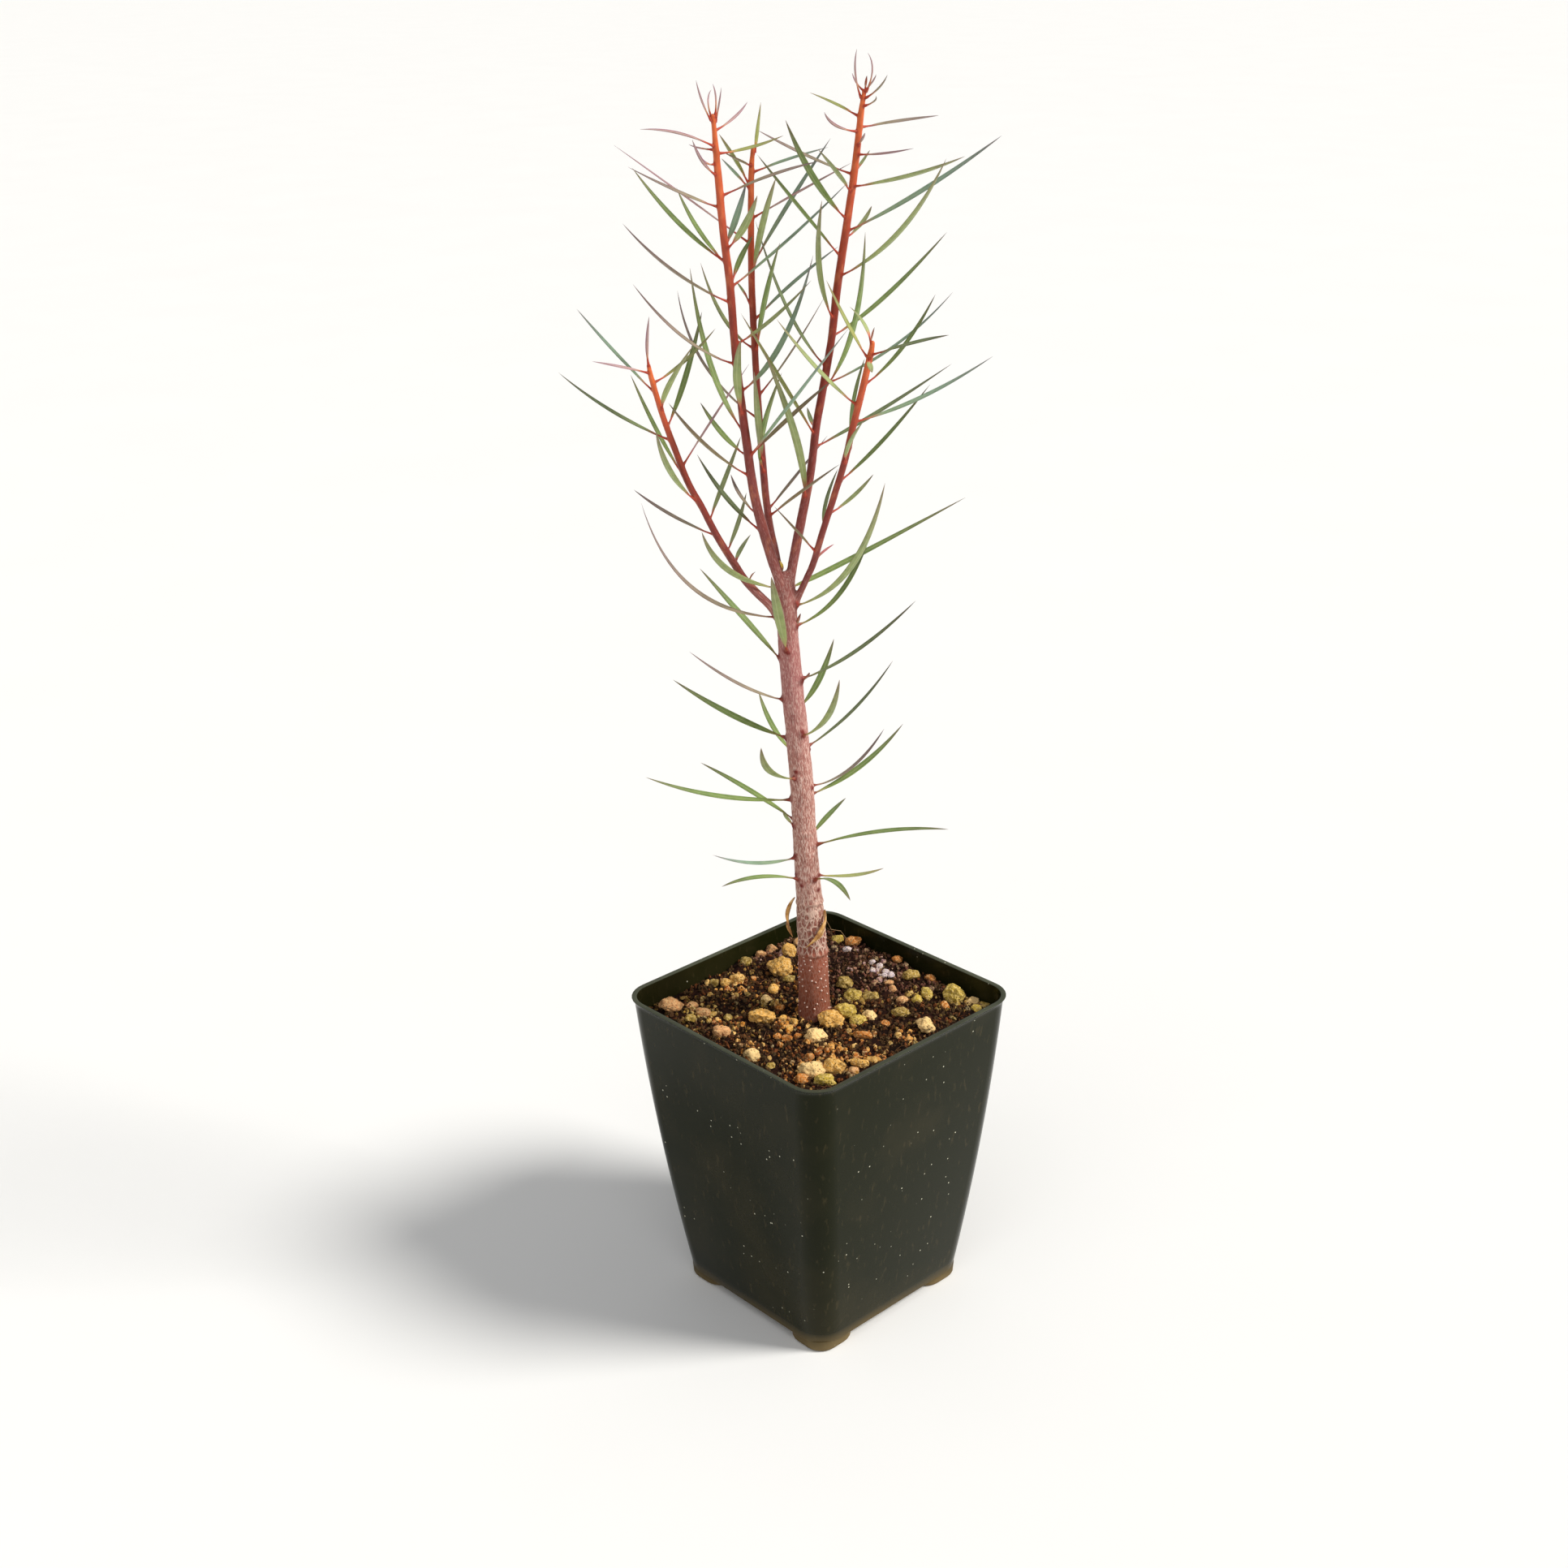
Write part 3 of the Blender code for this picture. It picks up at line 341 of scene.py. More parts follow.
class StageSettings(bpy.types.PropertyGroup):
    floor_colour: colour_prop("Floor", "Pale paper floor", "#f4f4f3")
    key: FloatProperty(name="Key", description="Strength of the key light", default=3.3, min=0)
    fill: FloatProperty(name="Fill", description="Strength of the fill light", default=0.7, min=0)
    sky: FloatProperty(name="Sky", description="Strength of the light from all round", default=0.3, min=0)


# ---------------------------------------------------------------- shared


def set_or_link(tree, socket, value):
    if isinstance(value, bpy.types.NodeSocket):
        tree.links.new(value, socket)
    else:
        socket.default_value = value


def add_node(tree, kind, inputs=None, output=0, stops=(), **settings):
    """A node's output, or the node itself where output is None. An input given a socket is linked.

    The stops of a colour ramp are pairs of place and colour, or a single number for a grey.
    """
    item = tree.nodes.new(kind)
    for key, value in settings.items():
        setattr(item, key, value)
    for key, value in (inputs or {}).items():
        set_or_link(tree, item.inputs[key], value)
    for number, (place, colour) in enumerate((*stops[:1], *stops[-1:], *stops[1:-1])):
        element = item.color_ramp.elements[number] if number < 2 else item.color_ramp.elements.new(place)
        element.position = place
        element.color = colour if isinstance(colour, tuple) else (colour, colour, colour, 1)
    return item if output is None else item.outputs[output]


def new_material(name):
    material = bpy.data.materials.new(name)
    material.use_nodes = True
    return material, material.node_tree


def coated(material, colour, sockets, relief=None, depth=0.0, strength=0.6):
    """The material with its colour, its shader's own sockets and a relief of that depth in metres."""
    tree = material.node_tree
    shader = tree.nodes["Principled BSDF"]
    for key, value in {"Base Color": colour, **sockets}.items():
        set_or_link(tree, shader.inputs[key], value)
    if relief:
        bump = {"Strength": strength, "Distance": depth, "Height": relief}
        set_or_link(tree, shader.inputs["Normal"], add_node(tree, "ShaderNodeBump", bump))
    return material


def filled_mesh(form, name):
    """A mesh of that name from a form, which is freed."""
    mesh = bpy.data.meshes.new(name)
    form.to_mesh(mesh)
    form.free()
    return mesh


def grain(tree, vector, size, detail=3.0, stretch=(1, 1, 1)):
    """Noise whose grains are about that size in metres, stretched by shares along each axis."""
    scale = add_node(tree, "ShaderNodeVectorMath", {0: vector, 1: stretch}, operation="DIVIDE")
    return add_node(tree, "ShaderNodeTexNoise", {"Vector": scale, "Scale": 0.5 / size, "Detail": detail})


def float_attribute(mesh, name, values, kind="FLOAT"):
    key = {"FLOAT": "value", "FLOAT_VECTOR": "vector", "FLOAT_COLOR": "color"}[kind]
    layer = mesh.attributes.new(name, kind, "POINT")
    layer.data.foreach_set(key, np.asarray(values, np.float32).ravel())


def finished(item):
    """The mesh of an object with its modifiers applied."""
    bpy.context.view_layer.update()
    shown = item.evaluated_get(bpy.context.evaluated_depsgraph_get())
    return bpy.data.meshes.new_from_object(shown)


def add_piece(name, mesh, replaced=()):
    """A finished piece of the visual model on the one body, in place of CAD nodes."""
    mesh.name = name
    piece = bpy.data.objects.new(name, mesh)
    bpy.context.scene.collection.objects.link(piece)
    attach(piece, "root")
    if replaced:
        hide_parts(*replaced)
    return piece


def apply_tree(mesh, tree, values=None):
    """The mesh that a Geometry Nodes tree makes from a mesh, with inputs set by name."""
    holder = bpy.data.objects.new("holder", mesh)
    bpy.context.scene.collection.objects.link(holder)
    modifier = holder.modifiers.new("nodes", "NODES")
    modifier.node_group = tree
    sockets = {item.name: item.identifier for item in tree.interface.items_tree if item.in_out == "INPUT"}
    for key, value in (values or {}).items():
        modifier[sockets[key]] = value
    result = finished(holder)
    bpy.data.objects.remove(holder)
    return result


def new_tree(name, **inputs):
    """A Geometry Nodes group with a geometry input and output and named inputs of given types."""
    tree = bpy.data.node_groups.new(name, "GeometryNodeTree")
    tree.interface.new_socket("Geometry", in_out="INPUT", socket_type="NodeSocketGeometry")
    for key, kind in inputs.items():
        tree.interface.new_socket(key, in_out="INPUT", socket_type=f"NodeSocket{kind}")
    tree.interface.new_socket("Geometry", in_out="OUTPUT", socket_type="NodeSocketGeometry")
    return tree, add_node(tree, "NodeGroupInput", output=None).outputs


def end_tree(tree, geometry, material, smooth=True):
    smooth = add_node(tree, "GeometryNodeSetShadeSmooth", {"Geometry": geometry, "Shade Smooth": smooth})
    painted = add_node(tree, "GeometryNodeSetMaterial", {"Geometry": smooth, "Material": material})
    real = add_node(tree, "GeometryNodeRealizeInstances", {0: painted})
    add_node(tree, "NodeGroupOutput", {0: real}, output=None)


# ---------------------------------------------------------------- plant frame


def plant_point(right, height, back):
    """World place of a point of the elevation that lies back behind it (forward if negative)."""
    spread = (VIEWER_DISTANCE + back) / VIEWER_DISTANCE
    lift = VIEWER_HEIGHT + (height - VIEWER_HEIGHT) * spread
    own = Vector((right * spread, back, lift)) * MM
    return Matrix.Rotation(PLANT_TURN, 3, "Z") @ own + Vector((0, 0, SOIL_TOP))


def viewer_place():
    azimuth, elevation = VIEWER_AZIMUTH, VIEWER_ELEVATION
    flat = math.cos(elevation)
    towards = Vector((math.sin(azimuth) * flat, -math.cos(azimuth) * flat, math.sin(elevation)))
    return Vector((0, 0, bpy.context.scene.euphorbia_pot.height)) + towards * VIEWER_REACH


def stem_at(stem, height):
    """Centre (right, back) and thickness of a stem at a height of the elevation."""
    rows = STEMS[stem]
    below, above = rows[0], rows[-1]
    for first, second in zip(rows, rows[1:]):
        if first[1] <= height <= second[1]:
            below, above = first, second
    share = clamped((height - below[1]) / (above[1] - below[1]), 0, 1)
    mix = [start + (end - start) * share for start, end in zip(below, above)]
    return mix[0], mix[2], mix[3]


def leaf_line(stem, row):
    """Foot, control point and tip of a leaf: the foot sits just inside the bark."""
    node, mid_right, mid_height, tip_right, tip_height, tip_back = row[:6]
    right, back, thickness = stem_at(stem, node)
    middle = plant_point(mid_right, mid_height, (back + tip_back) / 2)
    tip = plant_point(tip_right, tip_height, tip_back)
    centre = plant_point(right, node, back)
    heading = middle - centre
    heading.z = 0
    foot = centre + heading.normalized() * (thickness / 2 - 0.05) * MM
    return foot, 2 * middle - (foot + tip) / 2, tip


# ---------------------------------------------------------------- pot


def rounded_square(side, radius, height, steps=9):
    """Points of a square with rounded corners, counter-clockwise from above."""
    half = side / 2 - radius
    points = []
    for turn, (x, y) in enumerate(((half, half), (-half, half), (-half, -half), (half, -half))):
        for step in range(steps):
            angle = math.radians(90 * (turn + step / (steps - 1)))
            points.append((x + radius * math.cos(angle), y + radius * math.sin(angle), height))
    return points


def loft(form, rings):
    """Rings of equal length joined by faces that look outwards, closed at both ends."""
    loops = [[form.verts.new(point) for point in ring] for ring in rings]
    for low, high in zip(loops, loops[1:]):
        for index in range(len(low)):
            after = (index + 1) % len(low)
            form.faces.new((low[index], low[after], high[after], high[index]))
    form.faces.new(list(reversed(loops[0])))
    form.faces.new(loops[-1])


def wall_side(pot, height):
    share = (height - pot.foot_tall) / (pot.height - pot.foot_tall)
    straight = pot.base_side + (pot.top_side - pot.base_side) * share
    return straight + 2 * pot.bulge * 4 * share * (1 - share)


def pot_rings(pot):
    """Outside of the pot from its floor up, over the rim and down the inside to the floor."""
    low, high = pot.foot_tall, pot.height
    foot = high - pot.rim_tall
    round_low = 0.7 * MM
    rings = []
    for step in range(5):
        angle = math.radians(90 * step / 4)
        inset = round_low * (1 - math.sin(angle))
        lift = low + round_low * (1 - math.cos(angle))
        rings.append((lift, wall_side(pot, lift) - 2 * inset))
    heights = np.linspace(low + round_low, foot, 22)[1:]
    rings += [(float(height), wall_side(pot, float(height))) for height in heights]
    inner = wall_side(pot, high) - 2 * pot.wall
    for share, flare in ((0.25, 0.04), (0.5, 0.2), (0.68, 0.5), (0.8, 0.8), (0.9, 0.97), (0.96, 1.0), (0.99, 0.93)):
        lift = foot + share * pot.rim_tall
        rings.append((lift, wall_side(pot, lift) + 2 * flare * pot.rim_out))
    rings.append((high, wall_side(pot, high) + 1.6 * pot.rim_out))
    rings += [(high, inner + 0.5 * MM), (high - 0.12 * MM, inner + 0.1 * MM), (high - 0.45 * MM, inner)]
    top_floor = low + pot.floor
    heights = np.linspace(foot, top_floor + 0.6 * MM, 14)
    rings += [(float(height), wall_side(pot, float(height)) - 2 * pot.wall) for height in heights]
    rings.append((top_floor, wall_side(pot, top_floor) - 2 * pot.wall - 1.2 * MM))
    return rings


def pot_material(pot):
    """Polypropylene, injection moulded and glossy, with handling marks, dried water and a painted rim highlight,
    partly whitened wear.
    """
    material, tree = new_material("moulded_polypropylene")
    place = add_node(tree, "ShaderNodeTexCoord", output="Object")
    cloud = grain(tree, place, 14 * MM, 4)
    marks = grain(tree, place, 0.8 * MM, 5, (1, 1, 3))
    specks = add_node(tree, "ShaderNodeTexVoronoi", {"Vector": place, "Scale": 1 / (2.6 * MM)}, output=None)
    speck = add_node(tree, "ShaderNodeValToRGB", {0: specks.outputs["Distance"]}, stops=((0.07, 1), (0.11, 0)))
    crowd = add_node(
        tree, "ShaderNodeMix", {0: 0.5, 6: specks.outputs["Color"], 7: grain(tree, place, 9 * MM, 2)}, 2,
        data_type="RGBA")
    chosen = add_node(tree, "ShaderNodeValToRGB", {0: crowd}, stops=((0.6, 0), (0.64, 1)))
    dots = add_node(tree, "ShaderNodeMath", {0: speck, 1: chosen}, operation="MULTIPLY")
    height = add_node(tree, "ShaderNodeSeparateXYZ", {0: place}, output=2)
    toe = add_node(tree, "ShaderNodeMapRange", {0: height, 1: 7.5 * MM, 2: 1 * MM, 3: 0.0, 4: 1.0})
    toe = add_node(tree, "ShaderNodeMath", {0: toe, 1: cloud}, operation="MULTIPLY")
    film = add_node(tree, "ShaderNodeValToRGB", {0: cloud}, stops=((0.45, 0), (0.75, 0.05)))
    scuff = add_node(tree, "ShaderNodeValToRGB", {0: marks}, stops=((0.6, 0), (0.72, 0.07)))
    # Pale line along the rim's top edge: painted highlight, partly standing for the edge's whitened wear.
    rim_highlight_and_wear = add_node(
        tree, "ShaderNodeMapRange",
        {0: height, 1: pot.height - 0.3 * MM, 2: pot.height - 0.05 * MM, 3: 0.0, 4: 0.3})
    rim_highlight_and_wear = add_node(tree, "ShaderNodeMath", {0: rim_highlight_and_wear, 1: cloud}, operation="MULTIPLY")
    colour = add_node(
        tree, "ShaderNodeMix", {0: film, 6: tuple(pot.colour), 7: tuple(pot.dust_colour)}, 2, data_type="RGBA")
    colour = add_node(tree, "ShaderNodeMix", {0: scuff, 6: colour, 7: tuple(pot.dust_colour)}, 2, data_type="RGBA")
    colour = add_node(tree, "ShaderNodeMix", {0: toe, 6: colour, 7: tuple(pot.dust_colour)}, 2, data_type="RGBA")
    colour = add_node(tree, "ShaderNodeMix", {0: rim_highlight_and_wear, 6: colour, 7: shade("#a3aa94")}, 2, data_type="RGBA")
    colour = add_node(tree, "ShaderNodeMix", {0: dots, 6: colour, 7: shade("#c9c6b0")}, 2, data_type="RGBA")
    rough = add_node(tree, "ShaderNodeMapRange", {0: cloud, 1: 0.3, 2: 0.75, 3: 0.16, 4: 0.3})
    rough = add_node(tree, "ShaderNodeMath", {0: rough, 1: toe}, operation="ADD")
    return coated(
        material, colour, {"Roughness": rough, "IOR": 1.49, "Specular IOR Level": 0.1},
        grain(tree, place, 1.6 * MM, 2), 0.02 * MM, 0.25)


def build_pot(pot):
    form = bmesh.new()
    rings = pot_rings(pot)
    slim = pot.corner - pot.wall
    turned = max(range(len(rings)), key=lambda index: rings[index][0])
    for index, (height, side) in enumerate(rings):
        flare = max(0, side - wall_side(pot, height)) / 2
        rings[index] = rounded_square(side, pot.corner + flare if index <= turned else slim, height)
    loft(form, rings)
    mesh = filled_mesh(form, "pot_shell")
    shell = bpy.data.objects.new("pot_shell", mesh)
    toes = bpy.data.objects.new("toes", toe_mesh(pot))
    holes = bpy.data.objects.new("holes", hole_mesh(pot))
    for item, operation in ((toes, "UNION"), (holes, "DIFFERENCE")):
        cut = shell.modifiers.new(item.name, "BOOLEAN")
        cut.object = item
        cut.operation = operation
        cut.solver = "EXACT"
    for item in (shell, toes, holes):
        bpy.context.scene.collection.objects.link(item)
    result = finished(shell)
    for item in (shell, toes, holes):
        bpy.data.objects.remove(item)
    result.materials.clear()
    result.materials.append(pot_material(pot))
    result.shade_smooth()
    result.set_sharp_from_angle(angle=math.radians(38))
    add_piece("nursery_pot", result, ["pot"])


def toe_mesh(pot):
    """Four rounded toes under the floor's corners."""
    form = bmesh.new()
    reach = pot.base_side / 2 - 0.7 * MM - pot.foot_side / 2
    for x in (-reach, reach):
        for y in (-reach, reach):
            rings = []
            levels = [(0, 1.6), (0.12, 0.9), (0.45, 0.35), (1.0, 0.05), (1.6, 0)]
            levels.append((pot.foot_tall / MM + 0.5, -0.2))
            for lift, inset in levels:
                side = pot.foot_side - 2 * inset * MM
                ring = rounded_square(side, 6.2 * MM - inset * MM, lift * MM, 7)
                rings.append([(x + px, y + py, pz) for px, py, pz in ring])
            loft(form, rings)
    return filled_mesh(form, "toes")


def hole_mesh(pot):
    form = bmesh.new()
    for turn in range(4):
        angle = math.radians(90 * turn)
        seat = (pot.drain_reach * math.cos(angle), pot.drain_reach * math.sin(angle), pot.foot_tall)
        bmesh.ops.create_cone(
            form, cap_ends=True, segments=40, radius1=pot.drain_hole / 2, radius2=pot.drain_hole / 2,
            depth=8 * pot.floor, matrix=Matrix.Translation(seat))
    return filled_mesh(form, "holes")


# ---------------------------------------------------------------- soil


def to_plant(x, y):
    """Right and back of a world place."""
    own = Matrix.Rotation(-PLANT_TURN, 3, "Z") @ Vector((x, y, 0))
    return own.x, own.y


def from_plant(right, back):
    place = Matrix.Rotation(PLANT_TURN, 3, "Z") @ Vector((right, back, 0))
    return place.x, place.y


def soil_height(soil, x, y):
    """Height of the peat: a mound at the back, clumps, and a dip along the walls."""
    back = to_plant(x, y)[1]
    share = clamped((back + 5 * MM) / (50 * MM), 0, 1)
    rise = soil.mound * share * share * (3 - 2 * share)
    rise += soil.clump * noise.noise(Vector((x, y, 0)) / (7 * MM))
    rise += soil.clump * 0.55 * noise.noise(Vector((x, y, 3 * MM)) / (2.4 * MM))
    rise += soil.clump * 0.3 * noise.noise(Vector((x, y, 6 * MM)) / (1.1 * MM))
    edge = soil_half() - max(abs(x), abs(y))
    dip = 1.1 * MM * max(0, 1 - edge / (4 * MM))
    return SOIL_TOP - 0.2 * MM + rise - dip


def soil_half():
    """Half the width between the walls at the soil's top, less a hair."""
    pot = bpy.context.scene.euphorbia_pot
    return wall_side(pot, SOIL_TOP) / 2 - pot.wall - 0.1 * MM


def peat_material(soil):
    """Peat, damp and crumbly, with bark and sand dust in it."""
    material, tree = new_material("damp_peat")
    place = add_node(tree, "ShaderNodeTexCoord", output="Object")
    fine = grain(tree, place, 0.5 * MM, 5)
    broad = grain(tree, place, 5 * MM, 3)
    colour = add_node(
        tree, "ShaderNodeValToRGB", {0: fine},
        stops=(
            (0.3, shade("#0b0503")), (0.5, tuple(soil.peat_colour)), (0.62, shade("#2c170b")),
            (0.75, shade("#5e3415"))))
    colour = add_node(
        tree, "ShaderNodeMix",
        {
            0: add_node(tree, "ShaderNodeValToRGB", {0: broad}, stops=((0.4, 0), (0.7, 0.5))), 6: colour,
            7: shade("#331710")},
        2, data_type="RGBA")
    return coated(material, colour, {"Roughness": 0.92, "Specular IOR Level": 0.15, "IOR": 1.4}, fine, 0.5 * MM)


def build_soil(soil, pot):
    """The peat's body: a dense surface and sides that follow the pot's walls."""
    half = soil_half()
    corner = pot.corner - pot.wall
    cells = round(2 * half / soil.cell)
    ticks = np.linspace(-half, half, cells + 1)
    form = bmesh.new()
    grid = {}
    for i, x in enumerate(ticks):
        for j, y in enumerate(ticks):
            over = Vector((max(0, abs(x) - half + corner), max(0, abs(y) - half + corner)))
            fit = corner / over.length if over.length > corner else 1
            px = math.copysign(half - corner + over.x * fit, x) if over.x and over.y else float(x)
            py = math.copysign(half - corner + over.y * fit, y) if over.x and over.y else float(y)
            grid[i, j] = form.verts.new((px, py, soil_height(soil, px, py)))
    for i in range(cells):
        for j in range(cells):
            form.faces.new((grid[i, j], grid[i + 1, j], grid[i + 1, j + 1], grid[i, j + 1]))
    rim = [grid[i, 0] for i in range(cells)] + [grid[cells, j] for j in range(cells)]
    rim += [grid[i, cells] for i in range(cells, 0, -1)] + [grid[0, j] for j in range(cells, 0, -1)]
    floor = pot.foot_tall + pot.floor + 0.3 * MM
    above = rim
    for height in np.linspace(SOIL_TOP - 3 * MM, floor, 6):
        size = (wall_side(pot, float(height)) / 2 - pot.wall - 0.15 * MM) / half
        below = [form.verts.new((vert.co.x * size, vert.co.y * size, float(height))) for vert in rim]
        for index in range(len(rim)):
            after = (index + 1) % len(rim)
            form.faces.new((below[index], below[after], above[after], above[index]))
        above = below
    form.faces.new(list(reversed(above)))
    bmesh.ops.remove_doubles(form, verts=form.verts, dist=0.01 * MM)
    mesh = filled_mesh(form, "peat")
    mesh.materials.append(peat_material(soil))
    mesh.shade_smooth()
    add_piece("peat", mesh, ["soil"])


def scatter_tree():
    """Lumps on points: each point carries a size, a turn and a tint, and every lump differs."""
    tree, given = new_tree(
        "lumps", Detail="Int", Roughness="Float", Lump="Float", Smooth="Bool", Material="Material")
    ball = add_node(tree, "GeometryNodeMeshIcoSphere", {"Radius": 1.0, "Subdivisions": given["Detail"]})
    turn = add_node(
        tree, "FunctionNodeEulerToRotation",
        {0: add_node(tree, "GeometryNodeInputNamedAttribute", {"Name": "turn"}, data_type="FLOAT_VECTOR")})
    lumps = add_node(
        tree, "GeometryNodeInstanceOnPoints",
        {
            "Points": given["Geometry"], "Instance": ball, "Rotation": turn,
            "Scale": add_node(tree, "GeometryNodeInputNamedAttribute", {"Name": "size"}, data_type="FLOAT_VECTOR")})
    real = add_node(tree, "GeometryNodeRealizeInstances", {0: lumps})
    place = add_node(tree, "GeometryNodeInputPosition")
    near = add_node(tree, "ShaderNodeVectorMath", {0: place, "Scale": given["Lump"]}, operation="SCALE")
    rough = add_node(tree, "ShaderNodeTexNoise", {"Vector": near, "Scale": 1.0, "Detail": 2.0})
    rise = add_node(tree, "ShaderNodeMath", {0: rough, 1: 0.5}, operation="SUBTRACT")
    length = add_node(
        tree, "ShaderNodeVectorMath",
        {0: add_node(tree, "GeometryNodeInputNamedAttribute", {"Name": "size"}, data_type="FLOAT_VECTOR")},
        output="Value", operation="LENGTH")
    rise = add_node(tree, "ShaderNodeMath", {0: rise, 1: length}, operation="MULTIPLY")
    rise = add_node(tree, "ShaderNodeMath", {0: rise, 1: given["Roughness"]}, operation="MULTIPLY")
    out = add_node(tree, "GeometryNodeInputNormal")
    push = add_node(tree, "ShaderNodeVectorMath", {0: out, "Scale": rise}, operation="SCALE")
    moved = add_node(tree, "GeometryNodeSetPosition", {"Geometry": real, "Offset": push})
    end_tree(tree, moved, given["Material"], given["Smooth"])
    return tree


def scatter(name, points, material, detail, roughness, lump, smooth=False):
    """A piece of lumps at points of (place, size, turn, linear tint)."""
    mesh = bpy.data.meshes.new(name)
    mesh.from_pydata([point[0] for point in points], [], [])
    float_attribute(mesh, "size", [tuple(point[1]) for point in points], "FLOAT_VECTOR")
    float_attribute(mesh, "turn", [tuple(point[2]) for point in points], "FLOAT_VECTOR")
    float_attribute(mesh, "tint", [point[3] for point in points], "FLOAT_COLOR")
    values = {
        "Detail": detail, "Roughness": roughness, "Lump": 1 / lump, "Smooth": smooth, "Material": material}
    return add_piece(name, apply_tree(mesh, scatter_tree(), values))


def stone_material():
    """Pumice and lava grit as broken: porous and matt, with painted shade in its pores."""
    material, tree = new_material("broken_pumice")
    place = add_node(tree, "ShaderNodeTexCoord", output="Object")
    tint = add_node(tree, "ShaderNodeAttribute", output="Color", attribute_name="tint")
    pores = add_node(tree, "ShaderNodeTexVoronoi", {"Vector": place, "Scale": 1 / (0.75 * MM)}, output="Distance")
    pit = add_node(tree, "ShaderNodeValToRGB", {0: pores}, stops=((0.16, 0), (0.34, 1)))
    fine = grain(tree, place, 0.35 * MM, 4)
    broad = grain(tree, place, 1.6 * MM, 3)
    dark = add_node(tree, "ShaderNodeMix", {0: 0.78, 6: tint, 7: shade("#3a2008")}, 2, data_type="RGBA")
    pale = add_node(tree, "ShaderNodeMix", {0: 0.5, 6: tint, 7: shade("#f8dca0")}, 2, data_type="RGBA")
    colour = add_node(
        tree, "ShaderNodeMix",
        {0: add_node(tree, "ShaderNodeValToRGB", {0: fine}, stops=((0.42, 0), (0.68, 1))), 6: tint, 7: pale}, 2,
        data_type="RGBA")
    colour = add_node(
        tree, "ShaderNodeMix",
        {0: add_node(tree, "ShaderNodeValToRGB", {0: broad}, stops=((0.3, 0.75), (0.48, 0))), 6: colour, 7: dark},
        2, data_type="RGBA")
    # Dark in the pores where the bump sinks: painted shade.
    gate = add_node(tree, "ShaderNodeValToRGB", {0: broad}, stops=((0.44, 0), (0.6, 1)))
    painted_pit_shade = add_node(tree, "ShaderNodeMath", {0: 1.0, 1: pit}, operation="SUBTRACT")
    painted_pit_shade = add_node(tree, "ShaderNodeMath", {0: painted_pit_shade, 1: gate}, operation="MULTIPLY")
    colour = add_node(tree, "ShaderNodeMix", {0: painted_pit_shade, 6: colour, 7: dark}, 2, data_type="RGBA")
    relief = add_node(tree, "ShaderNodeMath", {0: pit, 1: fine}, operation="ADD")
    return coated(
        material, colour, {"Roughness": 0.88, "Specular IOR Level": 0.15, "IOR": 1.5}, relief, 0.25 * MM, 0.7)


def crumb_material():
    """Crumbs of peat and composted bark, matt, each in its own brown."""
    material, tree = new_material("composted_bark")
    place = add_node(tree, "ShaderNodeTexCoord", output="Object")
    tint = add_node(tree, "ShaderNodeAttribute", output="Color", attribute_name="tint")
    fine = grain(tree, place, 0.3 * MM, 4)
    colour = add_node(
        tree, "ShaderNodeMix",
        {
            0: fine,
            6: add_node(tree, "ShaderNodeMix", {0: 0.6, 6: tint, 7: shade("#0e0704")}, 2, data_type="RGBA"),
            7: add_node(tree, "ShaderNodeMix", {0: 0.14, 6: tint, 7: shade("#d8a86a")}, 2, data_type="RGBA")},
        2, data_type="RGBA")
    return coated(material, colour, {"Roughness": 0.85, "Specular IOR Level": 0.15}, fine, 0.2 * MM)


def zone(right, back):
    """Which part of the soil a place is in, for the mix of colours found there; the back part is partly painted
    trunk shadow.
    """
    if back > 10 and right > 2:
        return "back"
    if back > 32:
        return "back"
    if right < -14 and back > -14:
        return "left"
    if right > 18:
        return "right"
    return "front"


def free_place(rng, margin):
    """A random place (x, y) on the soil, clear of the walls and of the trunk."""
    half = soil_half() - margin
    trunk_x, trunk_y = from_plant(-1.3 * MM, 0)
    corner = 8 * MM
    while True:
        x, y = rng.uniform(-half, half), rng.uniform(-half, half)
        over = math.hypot(max(0, abs(x) - half + corner), max(0, abs(y) - half + corner))
        if over < corner and math.hypot(x - trunk_x, y - trunk_y) > TRUNK_CLEAR:
            return x, y


def random_turn(rng):
    return rng.uniform(-3, 3), rng.uniform(-3, 3), rng.uniform(-3, 3)


def broken_lump(rng, size, turn, place, fineness):
    """A lump of pumice: a ball cut by nine planes, then pitted."""
    form = bmesh.new()
    bmesh.ops.create_icosphere(form, subdivisions=fineness, radius=1)
    cuts = []
    for _ in range(9):
        way = Vector((rng.gauss(0, 1), rng.gauss(0, 1), rng.gauss(0, 1))).normalized()
        cuts.append((way, rng.uniform(0.62, 0.9)))
    seed = Vector((rng.uniform(0, 90), rng.uniform(0, 90), rng.uniform(0, 90)))
    spin = Matrix.Rotation(turn, 3, "Z") @ Matrix.Rotation(rng.uniform(-0.35, 0.35), 3, "X")
    coarse = size.length / MM
    for vert in form.verts:
        spot = vert.co.copy()
        for way, reach in cuts:
            over = spot.dot(way) - reach
            if over > 0:
                spot -= way * over * 0.88
        out = spot.normalized()
        own = Vector((spot.x * size.x, spot.y * size.y, spot.z * size.z)) / MM
        bend = 0.16 * noise.noise(own * 0.75 + seed)
        pit = -0.2 * max(0, noise.noise(own * 2.3 + seed) - 0.18)
        rough = 0.05 * noise.noise(own * 4.6 + seed) * 6 / coarse
        spot += out * (bend + pit + rough)
        vert.co = place + spin @ Vector((spot.x * size.x, spot.y * size.y, spot.z * size.z))
    return form


